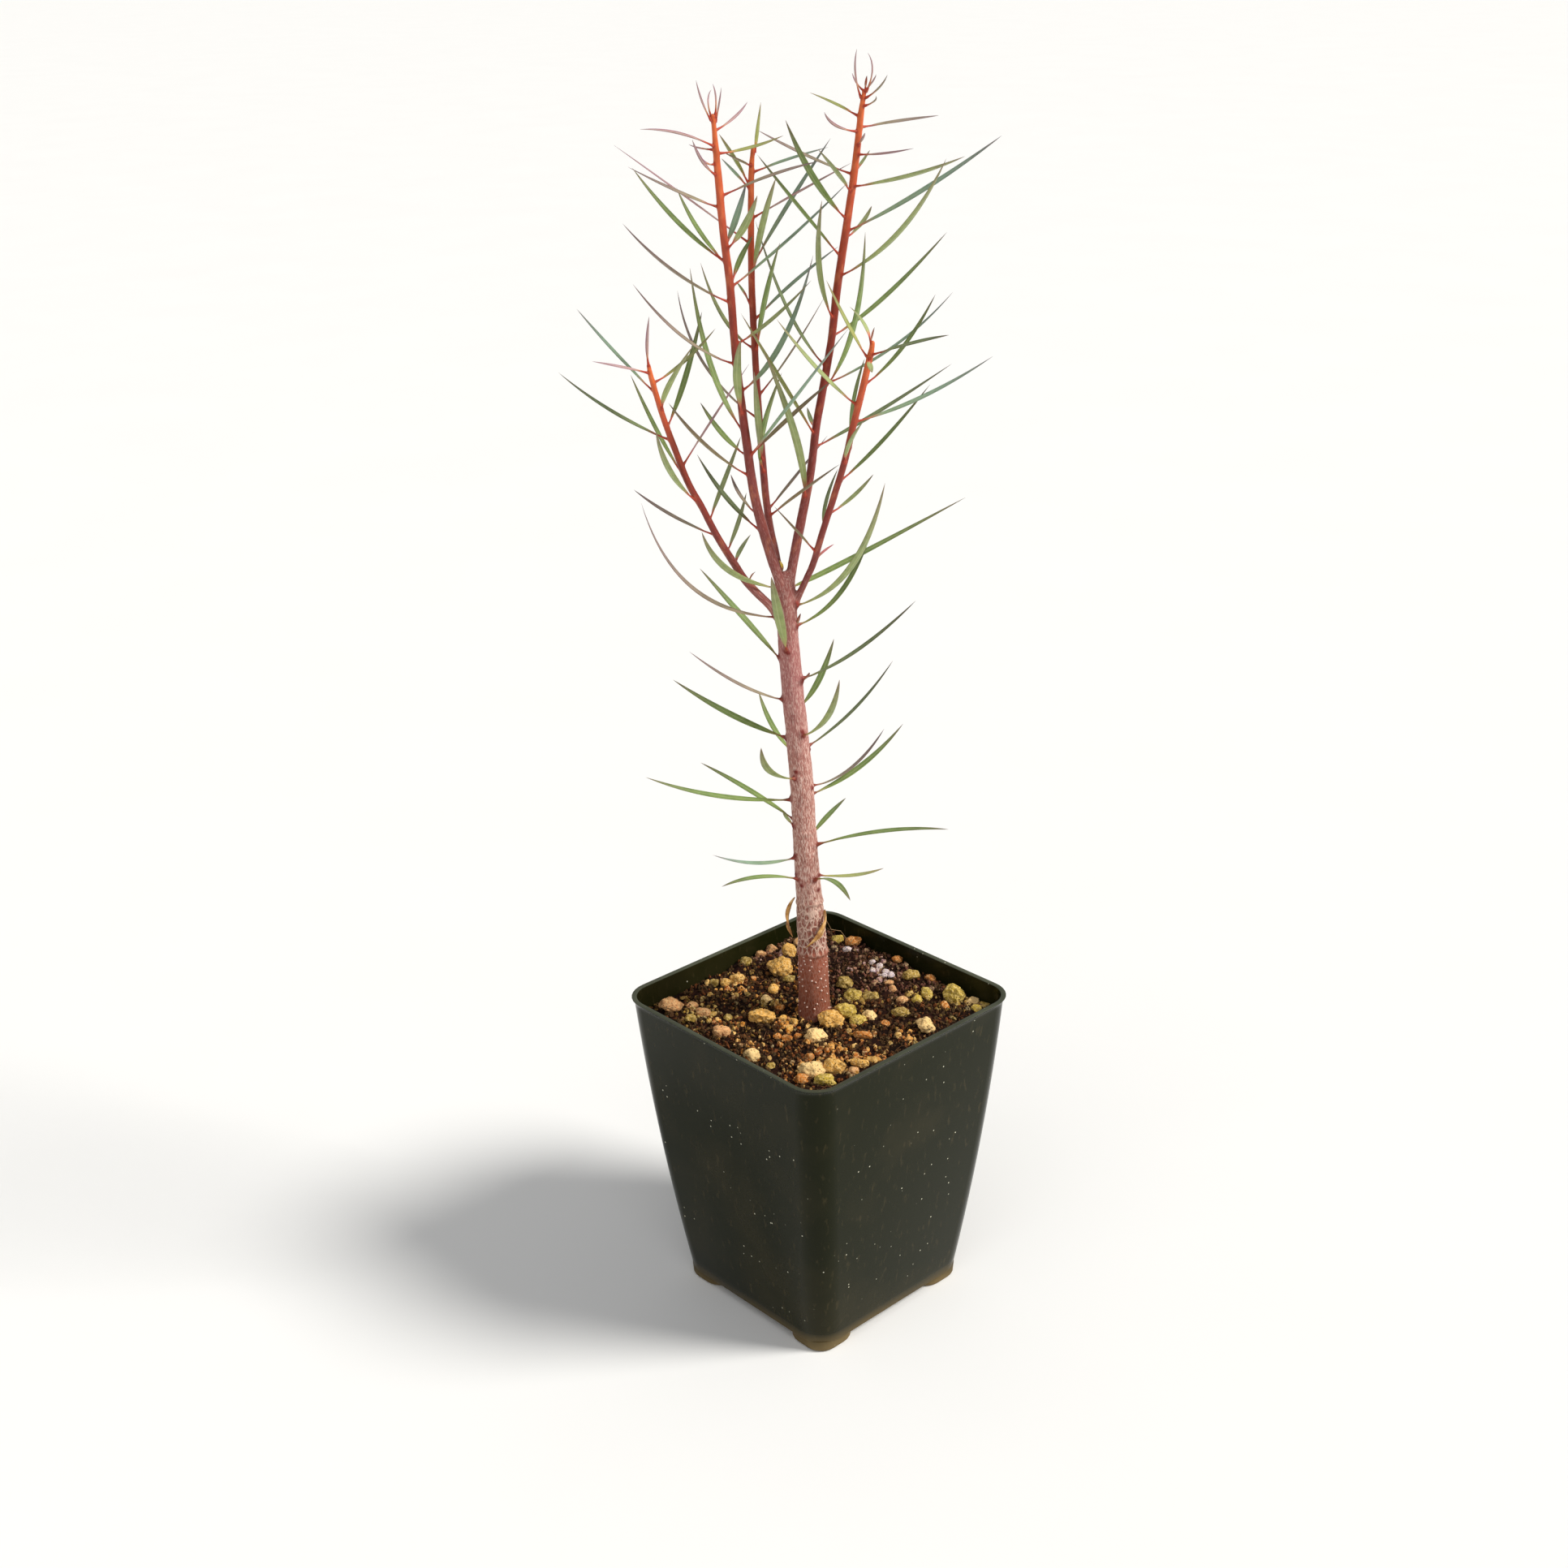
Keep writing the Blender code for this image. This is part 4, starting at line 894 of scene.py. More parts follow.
def build_stones(soil):
    rng = random.Random(soil.seed)
    whole = bmesh.new()
    tint_layer = whole.verts.layers.float_color.new("tint")
    for right, back, wide, deep, tall, tint in STONES:
        x, y = from_plant(right * MM, back * MM)
        size = Vector((wide, deep, tall)) * 0.57 * MM
        limit = soil_half() - max(size.x, size.y) * 0.94
        x, y = clamped(x, -limit, limit), clamped(y, -limit, limit)
        place = Vector((x, y, soil_height(soil, x, y) + size.z * 0.42))
        fineness = 5 if wide > 5 else 4
        lump = broken_lump(rng, size, PLANT_TURN + rng.uniform(-0.5, 0.5), place, fineness)
        mix = Vector(shade(STONE_TINTS[tint])) * rng.uniform(0.88, 1.12)
        corners = {vert: whole.verts.new(vert.co) for vert in lump.verts}
        for vert in corners.values():
            vert[tint_layer] = (*mix[:3], 1)
        for face in lump.faces:
            whole.faces.new([corners[vert] for vert in face.verts])
        lump.free()
    mesh = filled_mesh(whole, "pumice_stones")
    mesh.materials.append(stone_material())
    mesh.shade_smooth()
    names = sorted(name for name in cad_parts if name.startswith("pumice"))
    add_piece("pumice_stones", mesh, names)


def build_grit(soil):
    rng = random.Random(soil.seed + 1)
    grit = []
    spots = []
    for right, back, reach, count, tints in DRIFTS:
        for _ in range(count):
            x, y = from_plant(rng.gauss(right, reach / 2) * MM, rng.gauss(back, reach / 2) * MM)
            spots.append((x, y, rng.choice(DRIFT_TINTS[tints])))
    for _ in range(soil.grit):
        x, y = free_place(rng, 1 * MM)
        right, back = to_plant(x, y)
        spots.append((x, y, rng.choice(GRIT_TINTS[zone(right / MM, back / MM)])))
    limit = soil_half() - 2.4 * MM
    for x, y, tint in spots:
        x, y = clamped(x, -limit, limit), clamped(y, -limit, limit)
        wide = rng.uniform(0.35, 0.85) if rng.random() < 0.85 else rng.uniform(0.9, 1.5)
        size = Vector((wide, wide * rng.uniform(0.6, 1), wide * rng.uniform(0.5, 0.8))) * MM
        lift = soil_height(soil, x, y) + size.z * rng.uniform(0.1, 0.6)
        grit.append(((x, y, lift), size, random_turn(rng), shade(tint)))
    scatter("grit", grit, stone_material(), 2, 0.8, 0.8 * MM)
    crumbs = []
    for _ in range(soil.crumbs):
        x, y = free_place(rng, 0.6 * MM)
        right, back = to_plant(x, y)
        part = zone(right / MM, back / MM)
        # In the back part most crumbs take its dark purple-brown tints, partly a painted shadow of the trunk.
        plain = 0.35 if part == "back" else 0.82
        tints = CRUMB_TINTS if rng.random() < plain else GRIT_TINTS[part]
        wide = rng.uniform(0.2, 0.7)
        size = Vector((wide * rng.uniform(1, 2.2), wide, wide * rng.uniform(0.5, 0.9))) * MM
        lift = soil_height(soil, x, y) + size.z * rng.uniform(0.1, 0.7)
        crumbs.append(((x, y, lift), size, random_turn(rng), shade(rng.choice(tints))))
    scatter("bark_crumbs", crumbs, crumb_material(), 1, 0.9, 0.6 * MM)


# ---------------------------------------------------------------- stems


def smooth_rows(rows, step=1.0):
    """Rows of a stem on a Catmull-Rom curve, about step millimetres apart."""
    table = np.array(rows, float)
    padded = np.vstack([2 * table[0] - table[1], table, 2 * table[-1] - table[-2]])
    out = []
    for index in range(1, len(padded) - 2):
        before, start, end, after = padded[index - 1:index + 3]
        count = max(2, round(np.linalg.norm((end - start)[:3]) / step))
        for share in np.arange(count) / count:
            out.append(0.5 * (
                2 * start + (end - before) * share + (2 * before - 5 * start + 4 * end - after) * share ** 2
                + (3 * start - before - 3 * end + after) * share ** 3))
    out.append(table[-1])
    return np.array(out)


def add_tube(form, rows, sides=16):
    """A closed tube with round ends along the rows of a stem."""
    centres = [plant_point(*row[:3]) for row in rows]
    radii = [row[3] / 2 * MM for row in rows]
    ahead = (centres[-1] - centres[-2]).normalized()
    centres.append(centres[-1] + ahead * radii[-1] * 0.8)
    radii.append(radii[-1] * 0.45)
    loops = []
    for index, (centre, radius) in enumerate(zip(centres, radii)):
        axis = centres[min(index + 1, len(centres) - 1)] - centres[max(index - 1, 0)]
        turn = axis.to_track_quat("Z", "Y")
        loops.append([centre + turn @ Vector((
            radius * math.cos(2 * math.pi * side / sides), radius * math.sin(2 * math.pi * side / sides), 0))
            for side in range(sides)])
    loft(form, loops)


def stem_coordinates(places):
    """For each place: centre of the nearest stem, the height, how young, and how far up a shoot it is."""
    best = np.full(len(places), np.inf)
    centre = np.zeros((len(places), 3))
    height, young, reach = [np.zeros(len(places)) for _ in range(3)]
    for name, rows in STEMS.items():
        knots = np.array([plant_point(*row[:3]) for row in rows])
        sizes = np.array([row[3] / 2 * MM for row in rows])
        levels = np.array([row[1] for row in rows], float)
        for index in range(len(rows) - 1):
            axis = knots[index + 1] - knots[index]
            share = np.clip((places - knots[index]) @ axis / (axis @ axis), 0, 1)
            spot = knots[index] + share[:, None] * axis
            size = sizes[index] + share * (sizes[index + 1] - sizes[index])
            away = np.linalg.norm(places - spot, axis=1) / size
            closer = away < best
            best[closer] = away[closer]
            centre[closer] = spot[closer]
            level = levels[index] + share * (levels[index + 1] - levels[index])
            height[closer] = level[closer]
            start = SIDE_FORK if name.startswith("low") else TOP_FORK
            grown = np.clip((level - start) / 14, 0, 1) if name != "trunk" else np.zeros(len(places))
            young[closer] = grown[closer]
            up = np.clip((level - start) / (levels[-1] - start), 0, 1)
            reach[closer] = up[closer] if name != "trunk" else 0
    return centre, height, young, reach


def smooth_fork(mesh, passes):
    """Laplacian smoothing of the skin round the fork, so that the shoots grow out of the trunk."""
    count = len(mesh.vertices)
    places = np.zeros(count * 3)
    mesh.vertices.foreach_get("co", places)
    places = places.reshape(-1, 3)
    ends = np.zeros(len(mesh.edges) * 2, np.int32)
    mesh.edges.foreach_get("vertices", ends)
    first, second = ends.reshape(-1, 2).T
    fork = np.array(plant_point(-7.4, TOP_FORK, 0))
    away = np.linalg.norm((places - fork) * (1, 1, 0.75), axis=1)
    weight = (np.clip(1 - (away - 6 * MM) / (5 * MM), 0.12, 1) * 0.5)[:, None]
    degree = np.bincount(first, minlength=count) + np.bincount(second, minlength=count)
    for _ in range(passes):
        total = np.zeros_like(places)
        np.add.at(total, first, places[second])
        np.add.at(total, second, places[first])
        places += (total / degree[:, None] - places) * weight
    return places


def bark_relief(plant, places, feet):
    """How far each place of the bark stands out: furrows, growth rings and leaf cushions."""
    centre, height, young, reach = stem_coordinates(places)
    offset = places - centre
    relief = np.zeros(len(places))
    for index in range(len(places)):
        x, y = offset[index][:2] / MM
        level = height[index]
        if young[index] > 0.6:
            relief[index] = 0.06 * noise.noise(Vector((x / 1.2, y / 1.2, level / 4)))
            continue
        warp = 0.5 * noise.noise(Vector((x / 2.4, y / 2.4, level / 2.2)))
        coarse = 1 - 2 * abs(noise.noise(Vector((x / 0.62 + warp, y / 0.62 - warp, level / 3.6))))
        lumps = noise.noise(Vector((x / 3, y / 3, level / 6)))
        netted = 1 - 2 * abs(noise.noise(Vector((x / 1.0, y / 1.0, level / 1.7 + warp))))
        net = max(0, 1 - abs(level - 31.5) / 11)
        calm = 0.35 if level < 22 else 1 - 0.7 * min(1, max(0, (level - 95) / 35))
        furrow = coarse * (1 - net) * calm + 2.2 * netted * net
        ring_height = 22.5 + 1.3 * noise.noise(Vector((x / 4, y / 4, 1)))
        ring = 0.42 * math.exp(-((level - ring_height - 0.5) / 0.8) ** 2)
        upper = 40.3 + 0.8 * noise.noise(Vector((x / 4, y / 4, 5)))
        ring += 0.28 * math.exp(-((level - upper) / 0.6) ** 2)
        front = max(0.0, -math.sin(math.atan2(y, x) - PLANT_TURN))
        ring += 0.3 * front * math.exp(-((level - 64.6) / 0.8) ** 2)
        relief[index] = plant.fissure / MM * furrow + 0.2 * lumps * calm + ring
    for foot, wide, tall in feet:
        near = np.linalg.norm(places - np.array(foot), axis=1) / (wide * MM)
        close = near < 3
        relief[close] += tall * np.exp(-near[close] ** 2)
    return relief * MM, offset, height, young, reach


def leaf_feet():
    """Places where a leaf or a fallen leaf meets the bark, with the cushion's width and height."""
    feet = []
    for stem, rows in LEAVES.items():
        for row in rows:
            foot = leaf_line(stem, row)[0]
            tip_zone = stem != "trunk" and row[0] > STEMS[stem][-1][1] - 5
            grown = (1.05, 0.6) if stem == "trunk" else (0.6, 0.14 if tip_zone else 0.3)
            feet.append((foot, *grown))
    feet += [(scar_place(right, height), 0.8, 0.4) for right, height in SCARS]
    return feet


def scar_place(right, height):
    """Place on the front of the trunk's bark."""
    middle, back, thickness = stem_at("trunk", height)
    across = clamped((right - middle) / (thickness / 2), -0.98, 0.98)
    return plant_point(middle + across * thickness / 2, height, back - math.sqrt(1 - across ** 2) * thickness / 2)


def bark_material(plant):
    """Young euphorbia bark: grey-pink and furrowed on the trunk, smooth and red on the shoots."""
    material, tree = new_material("young_euphorbia_bark")
    height = add_node(tree, "ShaderNodeAttribute", output="Fac", attribute_name="height")
    young = add_node(tree, "ShaderNodeAttribute", output="Fac", attribute_name="young")
    reach = add_node(tree, "ShaderNodeAttribute", output="Fac", attribute_name="reach")
    relief = add_node(tree, "ShaderNodeAttribute", output="Fac", attribute_name="relief")
    place = add_node(tree, "ShaderNodeAttribute", output="Vector", attribute_name="grain")
    level = add_node(tree, "ShaderNodeMapRange", {0: height, 1: 0.0, 2: 200.0, 3: 0.0, 4: 1.0})
    trunk = add_node(
        tree, "ShaderNodeValToRGB", {0: level},
        stops=(
            (0.0, shade("#743620")), (0.05, shade("#8e4a30")), (0.11, shade("#9a523a")), (0.125, shade("#86422f")),
            (0.19, shade("#9c6252")), (0.22, tuple(plant.bark_colour)), (0.42, shade("#b0786c")),
            (0.58, shade("#a86a66")), (0.68, shade("#a0625a")), (0.75, shade("#94504a"))))
    shoot = add_node(
        tree, "ShaderNodeValToRGB", {0: reach},
        stops=(
            (0.0, shade("#8f504a")), (0.12, shade("#843e36")), (0.38, shade("#822c22")), (0.62, shade("#8e321c")),
            (0.8, tuple(plant.shoot_colour)), (0.97, shade("#dc6a34"))))
    sway = add_node(
        tree, "ShaderNodeTexNoise", {"Vector": place, "Scale": 1 / (1.6 * MM), "Detail": 1.0}, output="Color")
    sway = add_node(tree, "ShaderNodeVectorMath", {0: sway, 1: (0.5, 0.5, 0.5)}, operation="SUBTRACT")
    sway = add_node(tree, "ShaderNodeVectorMath", {0: sway, 1: (0.7 * MM, 0.7 * MM, 0.0)}, operation="MULTIPLY")
    wavy = add_node(tree, "ShaderNodeVectorMath", {0: place, 1: sway}, operation="ADD")
    streak = grain(tree, wavy, 0.14 * MM, 2, (1, 1, 6.5))
    tall_cell = add_node(tree, "ShaderNodeVectorMath", {0: wavy, 1: (1, 1, 0.5)}, operation="MULTIPLY")
    cells = add_node(
        tree, "ShaderNodeTexVoronoi", {"Vector": tall_cell, "Scale": 1 / (1.25 * MM)}, output="Distance",
        feature="DISTANCE_TO_EDGE")
    mesh_line = add_node(tree, "ShaderNodeValToRGB", {0: cells}, stops=((0.05, 0.85), (0.16, 0)))
    netted = add_node(
        tree, "ShaderNodeValToRGB", {0: level}, stops=((0.11, 0.1), (0.125, 1), (0.19, 0.9), (0.24, 0)))
    mesh_line = add_node(tree, "ShaderNodeMath", {0: mesh_line, 1: netted}, operation="MULTIPLY")
    # Fine streaks of the bark, pale on the ridges of its bump and dark in its grooves: the bark's streaky tone
    # together with painted highlight and painted shade.
    pale_streak_and_highlight = add_node(tree, "ShaderNodeValToRGB", {0: streak}, stops=((0.5, 0), (0.6, 1)))
    upper = add_node(
        tree, "ShaderNodeValToRGB", {0: level}, stops=((0.11, 0.15), (0.22, 1), (0.42, 0.85), (0.6, 0.45)))
    pale_streak_and_highlight = add_node(tree, "ShaderNodeMath", {0: pale_streak_and_highlight, 1: upper}, operation="MULTIPLY")
    deep = add_node(tree, "ShaderNodeValToRGB", {0: streak}, stops=((0.36, 0.8), (0.46, 0)))
    deep = add_node(tree, "ShaderNodeMath", {0: deep, 1: upper}, operation="MULTIPLY")
    old = add_node(
        tree, "ShaderNodeMix",
        {
            0: pale_streak_and_highlight, 6: trunk,
            7: add_node(tree, "ShaderNodeMix", {0: 0.58, 6: trunk, 7: shade("#f2d8ca")}, 2, data_type="RGBA")},
        2, data_type="RGBA")
    old = add_node(
        tree, "ShaderNodeMix",
        {
            0: deep, 6: old,
            7: add_node(tree, "ShaderNodeMix", {0: 0.62, 6: trunk, 7: shade("#5e281e")}, 2, data_type="RGBA")},
        2, data_type="RGBA")
    old = add_node(
        tree, "ShaderNodeMix",
        {
            0: mesh_line, 6: old,
            7: add_node(tree, "ShaderNodeMix", {0: 0.85, 6: trunk, 7: shade("#e8c8b4")}, 2, data_type="RGBA")},
        2, data_type="RGBA")
    # Darker where the bark's relief sinks into its furrows: painted shade.
    cut = add_node(tree, "ShaderNodeValToRGB", {0: relief}, stops=((0.34, 0.4), (0.46, 0)))
    old = add_node(
        tree, "ShaderNodeMix",
        {
            0: cut, 6: old,
            7: add_node(tree, "ShaderNodeMix", {0: 0.6, 6: old, 7: shade("#4e2a24")}, 2, data_type="RGBA")},
        2, data_type="RGBA")
    bloom = add_node(tree, "ShaderNodeValToRGB", {0: streak}, stops=((0.5, 0), (0.7, 0.5)))
    low = add_node(tree, "ShaderNodeValToRGB", {0: reach}, stops=((0.05, 1), (0.4, 0.1)))
    bloom = add_node(tree, "ShaderNodeMath", {0: bloom, 1: low}, operation="MULTIPLY")
    blotch = grain(tree, place, 0.9 * MM, 4, (1, 1, 2.4))
    shoot = add_node(
        tree, "ShaderNodeMix",
        {
            0: add_node(tree, "ShaderNodeValToRGB", {0: blotch}, stops=((0.36, 0.6), (0.52, 0))), 6: shoot,
            7: add_node(tree, "ShaderNodeMix", {0: 0.55, 6: shoot, 7: shade("#6e2418")}, 2, data_type="RGBA")},
        2, data_type="RGBA")
    shoot = add_node(
        tree, "ShaderNodeMix",
        {
            0: add_node(tree, "ShaderNodeValToRGB", {0: blotch}, stops=((0.56, 0), (0.7, 0.5))), 6: shoot,
            7: add_node(tree, "ShaderNodeMix", {0: 0.45, 6: shoot, 7: shade("#f0945c")}, 2, data_type="RGBA")},
        2, data_type="RGBA")
    fresh = add_node(
        tree, "ShaderNodeMix",
        {
            0: bloom, 6: shoot,
            7: add_node(tree, "ShaderNodeMix", {0: 0.7, 6: shoot, 7: shade("#c99a94")}, 2, data_type="RGBA")},
        2, data_type="RGBA")
    colour = add_node(tree, "ShaderNodeMix", {0: young, 6: old, 7: fresh}, 2, data_type="RGBA")
    scar = add_node(tree, "ShaderNodeAttribute", output="Fac", attribute_name="scar")
    colour = add_node(
        tree, "ShaderNodeMix",
        {
            0: scar, 6: colour,
            7: add_node(
                tree, "ShaderNodeMix", {0: young, 6: shade("#74221a"), 7: shade("#a8301e")}, 2, data_type="RGBA")},
        2, data_type="RGBA")
    rough = add_node(tree, "ShaderNodeMapRange", {0: young, 1: 0.0, 2: 1.0, 3: 0.78, 4: 0.42})
    fade = add_node(tree, "ShaderNodeMapRange", {0: young, 1: 0.0, 2: 1.0, 3: 1.0, 4: 0.2})
    tall = add_node(tree, "ShaderNodeMath", {0: streak, 1: mesh_line}, operation="ADD")
    tall = add_node(tree, "ShaderNodeMath", {0: tall, 1: fade}, operation="MULTIPLY")
    return coated(material, colour, {"Roughness": rough, "IOR": 1.45}, tall, 0.3 * MM, 0.8)


def build_stems(plant):
    form = bmesh.new()
    for rows in STEMS.values():
        add_tube(form, smooth_rows(rows))
    mesh = filled_mesh(form, "stems")
    holder = bpy.data.objects.new("stems", mesh)
    bpy.context.scene.collection.objects.link(holder)
    fuse = holder.modifiers.new("fuse", "REMESH")
    fuse.mode = "VOXEL"
    fuse.voxel_size = plant.voxel
    skin = finished(holder)
    bpy.data.objects.remove(holder)
    places = smooth_fork(skin, 14)
    skin.vertices.foreach_set("co", places.astype(np.float32).ravel())
    skin.update()
    normals = np.zeros(len(places) * 3, np.float32)
    skin.vertex_normals.foreach_get("vector", normals)
    normals = normals.reshape(-1, 3)
    feet = leaf_feet()
    relief, offset, height, young, reach = bark_relief(plant, places, feet)
    outer = (places + normals * relief[:, None]).astype(np.float32)
    skin.vertices.foreach_set("co", outer.ravel())
    scar = np.zeros(len(places))
    for foot, wide, _ in feet:
        near = np.linalg.norm(places - np.array(foot), axis=1) / (wide * MM)
        scar = np.maximum(scar, np.clip(1.5 - near, 0, 1))
    float_attribute(skin, "height", height)
    float_attribute(skin, "young", young)
    float_attribute(skin, "reach", reach)
    float_attribute(skin, "scar", scar)
    float_attribute(skin, "relief", np.clip(0.5 + relief / (0.8 * MM), 0, 1))
    local = np.column_stack([offset[:, :2], height * MM])
    float_attribute(skin, "grain", local, "FLOAT_VECTOR")
    skin.materials.clear()
    skin.materials.append(bark_material(plant))
    skin.update()
    skin.shade_smooth()
    names = ["trunk", *sorted(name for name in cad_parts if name.startswith("shoot"))]
    add_piece("stems", skin, names)


def lenticel_material():
    """Lenticels: corky pale pores in the bark."""
    material, tree = new_material("cork_pore")
    fine = grain(tree, add_node(tree, "ShaderNodeTexCoord", output="Object"), 0.2 * MM, 3)
    colour = add_node(
        tree, "ShaderNodeMix", {0: fine, 6: shade("#c79a88"), 7: shade("#efd9cc")}, 2, data_type="RGBA")
    return coated(material, colour, {"Roughness": 0.85})


def build_lenticels(plant):
    rng = random.Random(3)
    points = []
    while len(points) < plant.lenticels:
        height = rng.uniform(0.8, 22) if rng.random() < 0.86 else rng.uniform(24, 42)
        angle = rng.uniform(-math.pi, math.pi)
        middle, back, thickness = stem_at("trunk", height)
        reach = thickness / 2 - 0.02
        place = plant_point(middle + reach * math.sin(angle), height, back - reach * math.cos(angle))
        if any((place - point[0]).length < 1.1 * MM for point in points):
            continue
        out = place - plant_point(middle, height, back)
        turn = out.to_track_quat("X", "Z").to_euler()
        size = Vector((0.22, rng.uniform(0.22, 0.42), rng.uniform(0.2, 0.36))) * MM
        points.append((place, size, turn, shade("#efd9cc")))
    scatter("lenticels", points, lenticel_material(), 2, 0.5, 0.3 * MM, True)


# ---------------------------------------------------------------- leaves


def leaf_tree():
    """Blades and stalks along edges whose points carry a half width, a rib, a roll and a tint."""
    tree, given = new_tree("leaves", Fold="Float", Thickness="Float", Material="Material")
    lines = add_node(tree, "GeometryNodeMeshToCurve", {"Mesh": given["Geometry"]})
    level = add_node(tree, "GeometryNodeSetCurveNormal", {"Curve": lines}, mode="Z_UP")
    rolled = add_node(
        tree, "GeometryNodeSetCurveTilt",
        {"Curve": level, "Tilt": add_node(tree, "GeometryNodeInputNamedAttribute", {"Name": "roll"})})
    ring = add_node(tree, "GeometryNodeCurvePrimitiveCircle", {"Resolution": 14, "Radius": 1.0})
    place = add_node(tree, "GeometryNodeInputPosition")
    parts = add_node(tree, "ShaderNodeSeparateXYZ", {0: place}, output=None).outputs
    marked = add_node(
        tree, "GeometryNodeStoreNamedAttribute", {"Geometry": ring, "Name": "across", "Value": parts[0]},
        data_type="FLOAT", domain="POINT")
    high = add_node(
        tree, "GeometryNodeStoreNamedAttribute", {"Geometry": marked, "Name": "upper", "Value": parts[1]},
        data_type="FLOAT", domain="POINT")
    side = add_node(tree, "ShaderNodeMath", {0: parts[0]}, operation="ABSOLUTE")
    fold = add_node(tree, "ShaderNodeMath", {0: side, 1: given["Fold"]}, operation="MULTIPLY")
    flat = add_node(tree, "ShaderNodeMath", {0: parts[1], 1: given["Thickness"]}, operation="MULTIPLY")
    lift = add_node(tree, "ShaderNodeMath", {0: flat, 1: fold}, operation="SUBTRACT")
    shape = add_node(tree, "ShaderNodeCombineXYZ", {0: parts[0], 1: lift, 2: 0.0})
    outline = add_node(tree, "GeometryNodeSetPosition", {"Geometry": high, "Position": shape})
    solids = []
    rib_ring = add_node(tree, "GeometryNodeCurvePrimitiveCircle", {"Resolution": 7, "Radius": 1.0})
    for width, profile in (("half_width", outline), ("rib", rib_ring)):
        sized = add_node(
            tree, "GeometryNodeSetCurveRadius",
            {"Curve": rolled, "Radius": add_node(tree, "GeometryNodeInputNamedAttribute", {"Name": width})})
        solid = add_node(
            tree, "GeometryNodeCurveToMesh",
            {
                "Curve": sized, "Profile Curve": profile, "Fill Caps": True,
                "Scale": add_node(tree, "GeometryNodeInputNamedAttribute", {"Name": width})})
        solids.append(solid)
    both = add_node(tree, "GeometryNodeJoinGeometry", {0: solids[0]}, output=None)
    tree.links.new(solids[1], both.inputs[0])
    end_tree(tree, both.outputs[0], given["Material"])
    return tree


def leaf_material():
    """Waxy leaf: matt sheen, pale midrib, reddish margins, a red stalk and a dark point."""
    material, tree = new_material("waxy_leaf")
    tint = add_node(tree, "ShaderNodeAttribute", output="Color", attribute_name="tint")
    across = add_node(
        tree, "ShaderNodeMath", {0: add_node(tree, "ShaderNodeAttribute", output="Fac", attribute_name="across")},
        operation="ABSOLUTE")
    along = add_node(tree, "ShaderNodeAttribute", output="Fac", attribute_name="along")
    where = add_node(tree, "ShaderNodeCombineXYZ", {0: across, 1: along, 2: 0.0})
    stretched = add_node(tree, "ShaderNodeVectorMath", {0: where, 1: (9, 1.5, 1)}, operation="MULTIPLY")
    streak = add_node(tree, "ShaderNodeTexNoise", {"Vector": stretched, "Scale": 1.0, "Detail": 3.0})
    blotch = grain(tree, add_node(tree, "ShaderNodeTexCoord", output="Object"), 1.4 * MM, 4)
    colour = add_node(
        tree, "ShaderNodeMix",
        {
            0: add_node(tree, "ShaderNodeValToRGB", {0: streak}, stops=((0.4, 0), (0.7, 0.3))), 6: tint,
            7: add_node(tree, "ShaderNodeMix", {0: 0.55, 6: tint, 7: shade("#c9d29a")}, 2, data_type="RGBA")},
        2, data_type="RGBA")
    dark = add_node(tree, "ShaderNodeMix", {0: 0.4, 6: tint, 7: shade("#34401e")}, 2, data_type="RGBA")
    colour = add_node(
        tree, "ShaderNodeMix",
        {0: add_node(tree, "ShaderNodeValToRGB", {0: blotch}, stops=((0.35, 0.5), (0.55, 0))), 6: colour, 7: dark},
        2, data_type="RGBA")
    rib = add_node(tree, "ShaderNodeValToRGB", {0: across}, stops=((0.05, 0.5), (0.16, 0)))
    blade = add_node(tree, "ShaderNodeValToRGB", {0: along}, stops=((0.14, 0), (0.24, 1)))
    rib = add_node(tree, "ShaderNodeMath", {0: rib, 1: blade}, operation="MULTIPLY")
    colour = add_node(
        tree, "ShaderNodeMix",
        {
            0: rib, 6: colour,
            7: add_node(tree, "ShaderNodeMix", {0: 0.6, 6: tint, 7: shade("#d3d6a8")}, 2, data_type="RGBA")},
        2, data_type="RGBA")
    edge = add_node(tree, "ShaderNodeValToRGB", {0: across}, stops=((0.82, 0), (0.97, 0.55)))
    colour = add_node(
        tree, "ShaderNodeMix",
        {
            0: edge, 6: colour,
            7: add_node(tree, "ShaderNodeMix", {0: 0.6, 6: tint, 7: shade("#5e3a34")}, 2, data_type="RGBA")},
        2, data_type="RGBA")
    return coated(
        material, colour, {"Roughness": 0.48, "IOR": 1.42, "Subsurface Weight": 0.08, "Subsurface Scale": 0.4 * MM},
        streak, 0.05 * MM, 0.4)


def level_and_down(line):
    """The two directions that a blade's turn is measured from, for a leaf heading along line."""
    level = Vector((line.y, -line.x, 0))
    level = level.normalized() if level.length > 1e-6 else Vector((1, 0, 0))
    return level, line.cross(level)


def leaf_rolls(places, seen, real):
    """Turn of the blade at each place, so that its middle shows the viewer the width seen."""
    last = len(places) - 1
    lines = [
        (places[min(index + 1, last)] - places[max(index - 1, 0)]).normalized() for index in range(len(places))]
    middle = len(places) // 2
    level, down = level_and_down(lines[middle])
    sight = (places[middle] - viewer_place()).normalized()
    open_way = lines[middle].cross(sight).normalized()
    facing = math.atan2(open_way.dot(down), open_way.dot(level))
    turn = math.acos(clamped(seen / real, 0, 1))
    choices = [facing + sign * turn + half for sign in (-1, 1) for half in (-math.pi, 0, math.pi)]
    best = min(choices, key=abs)
    ways = {middle: level * math.cos(best) + down * math.sin(best)}
    for step in (1, -1):
        index = middle
        while 0 <= index + step <= last:
            before = ways[index]
            index += step
            ways[index] = (before - lines[index] * before.dot(lines[index])).normalized()
    rolls = []
    for index in range(len(places)):
        level, down = level_and_down(lines[index])
        rolls.append(math.atan2(ways[index].dot(down), ways[index].dot(level)))
    return rolls


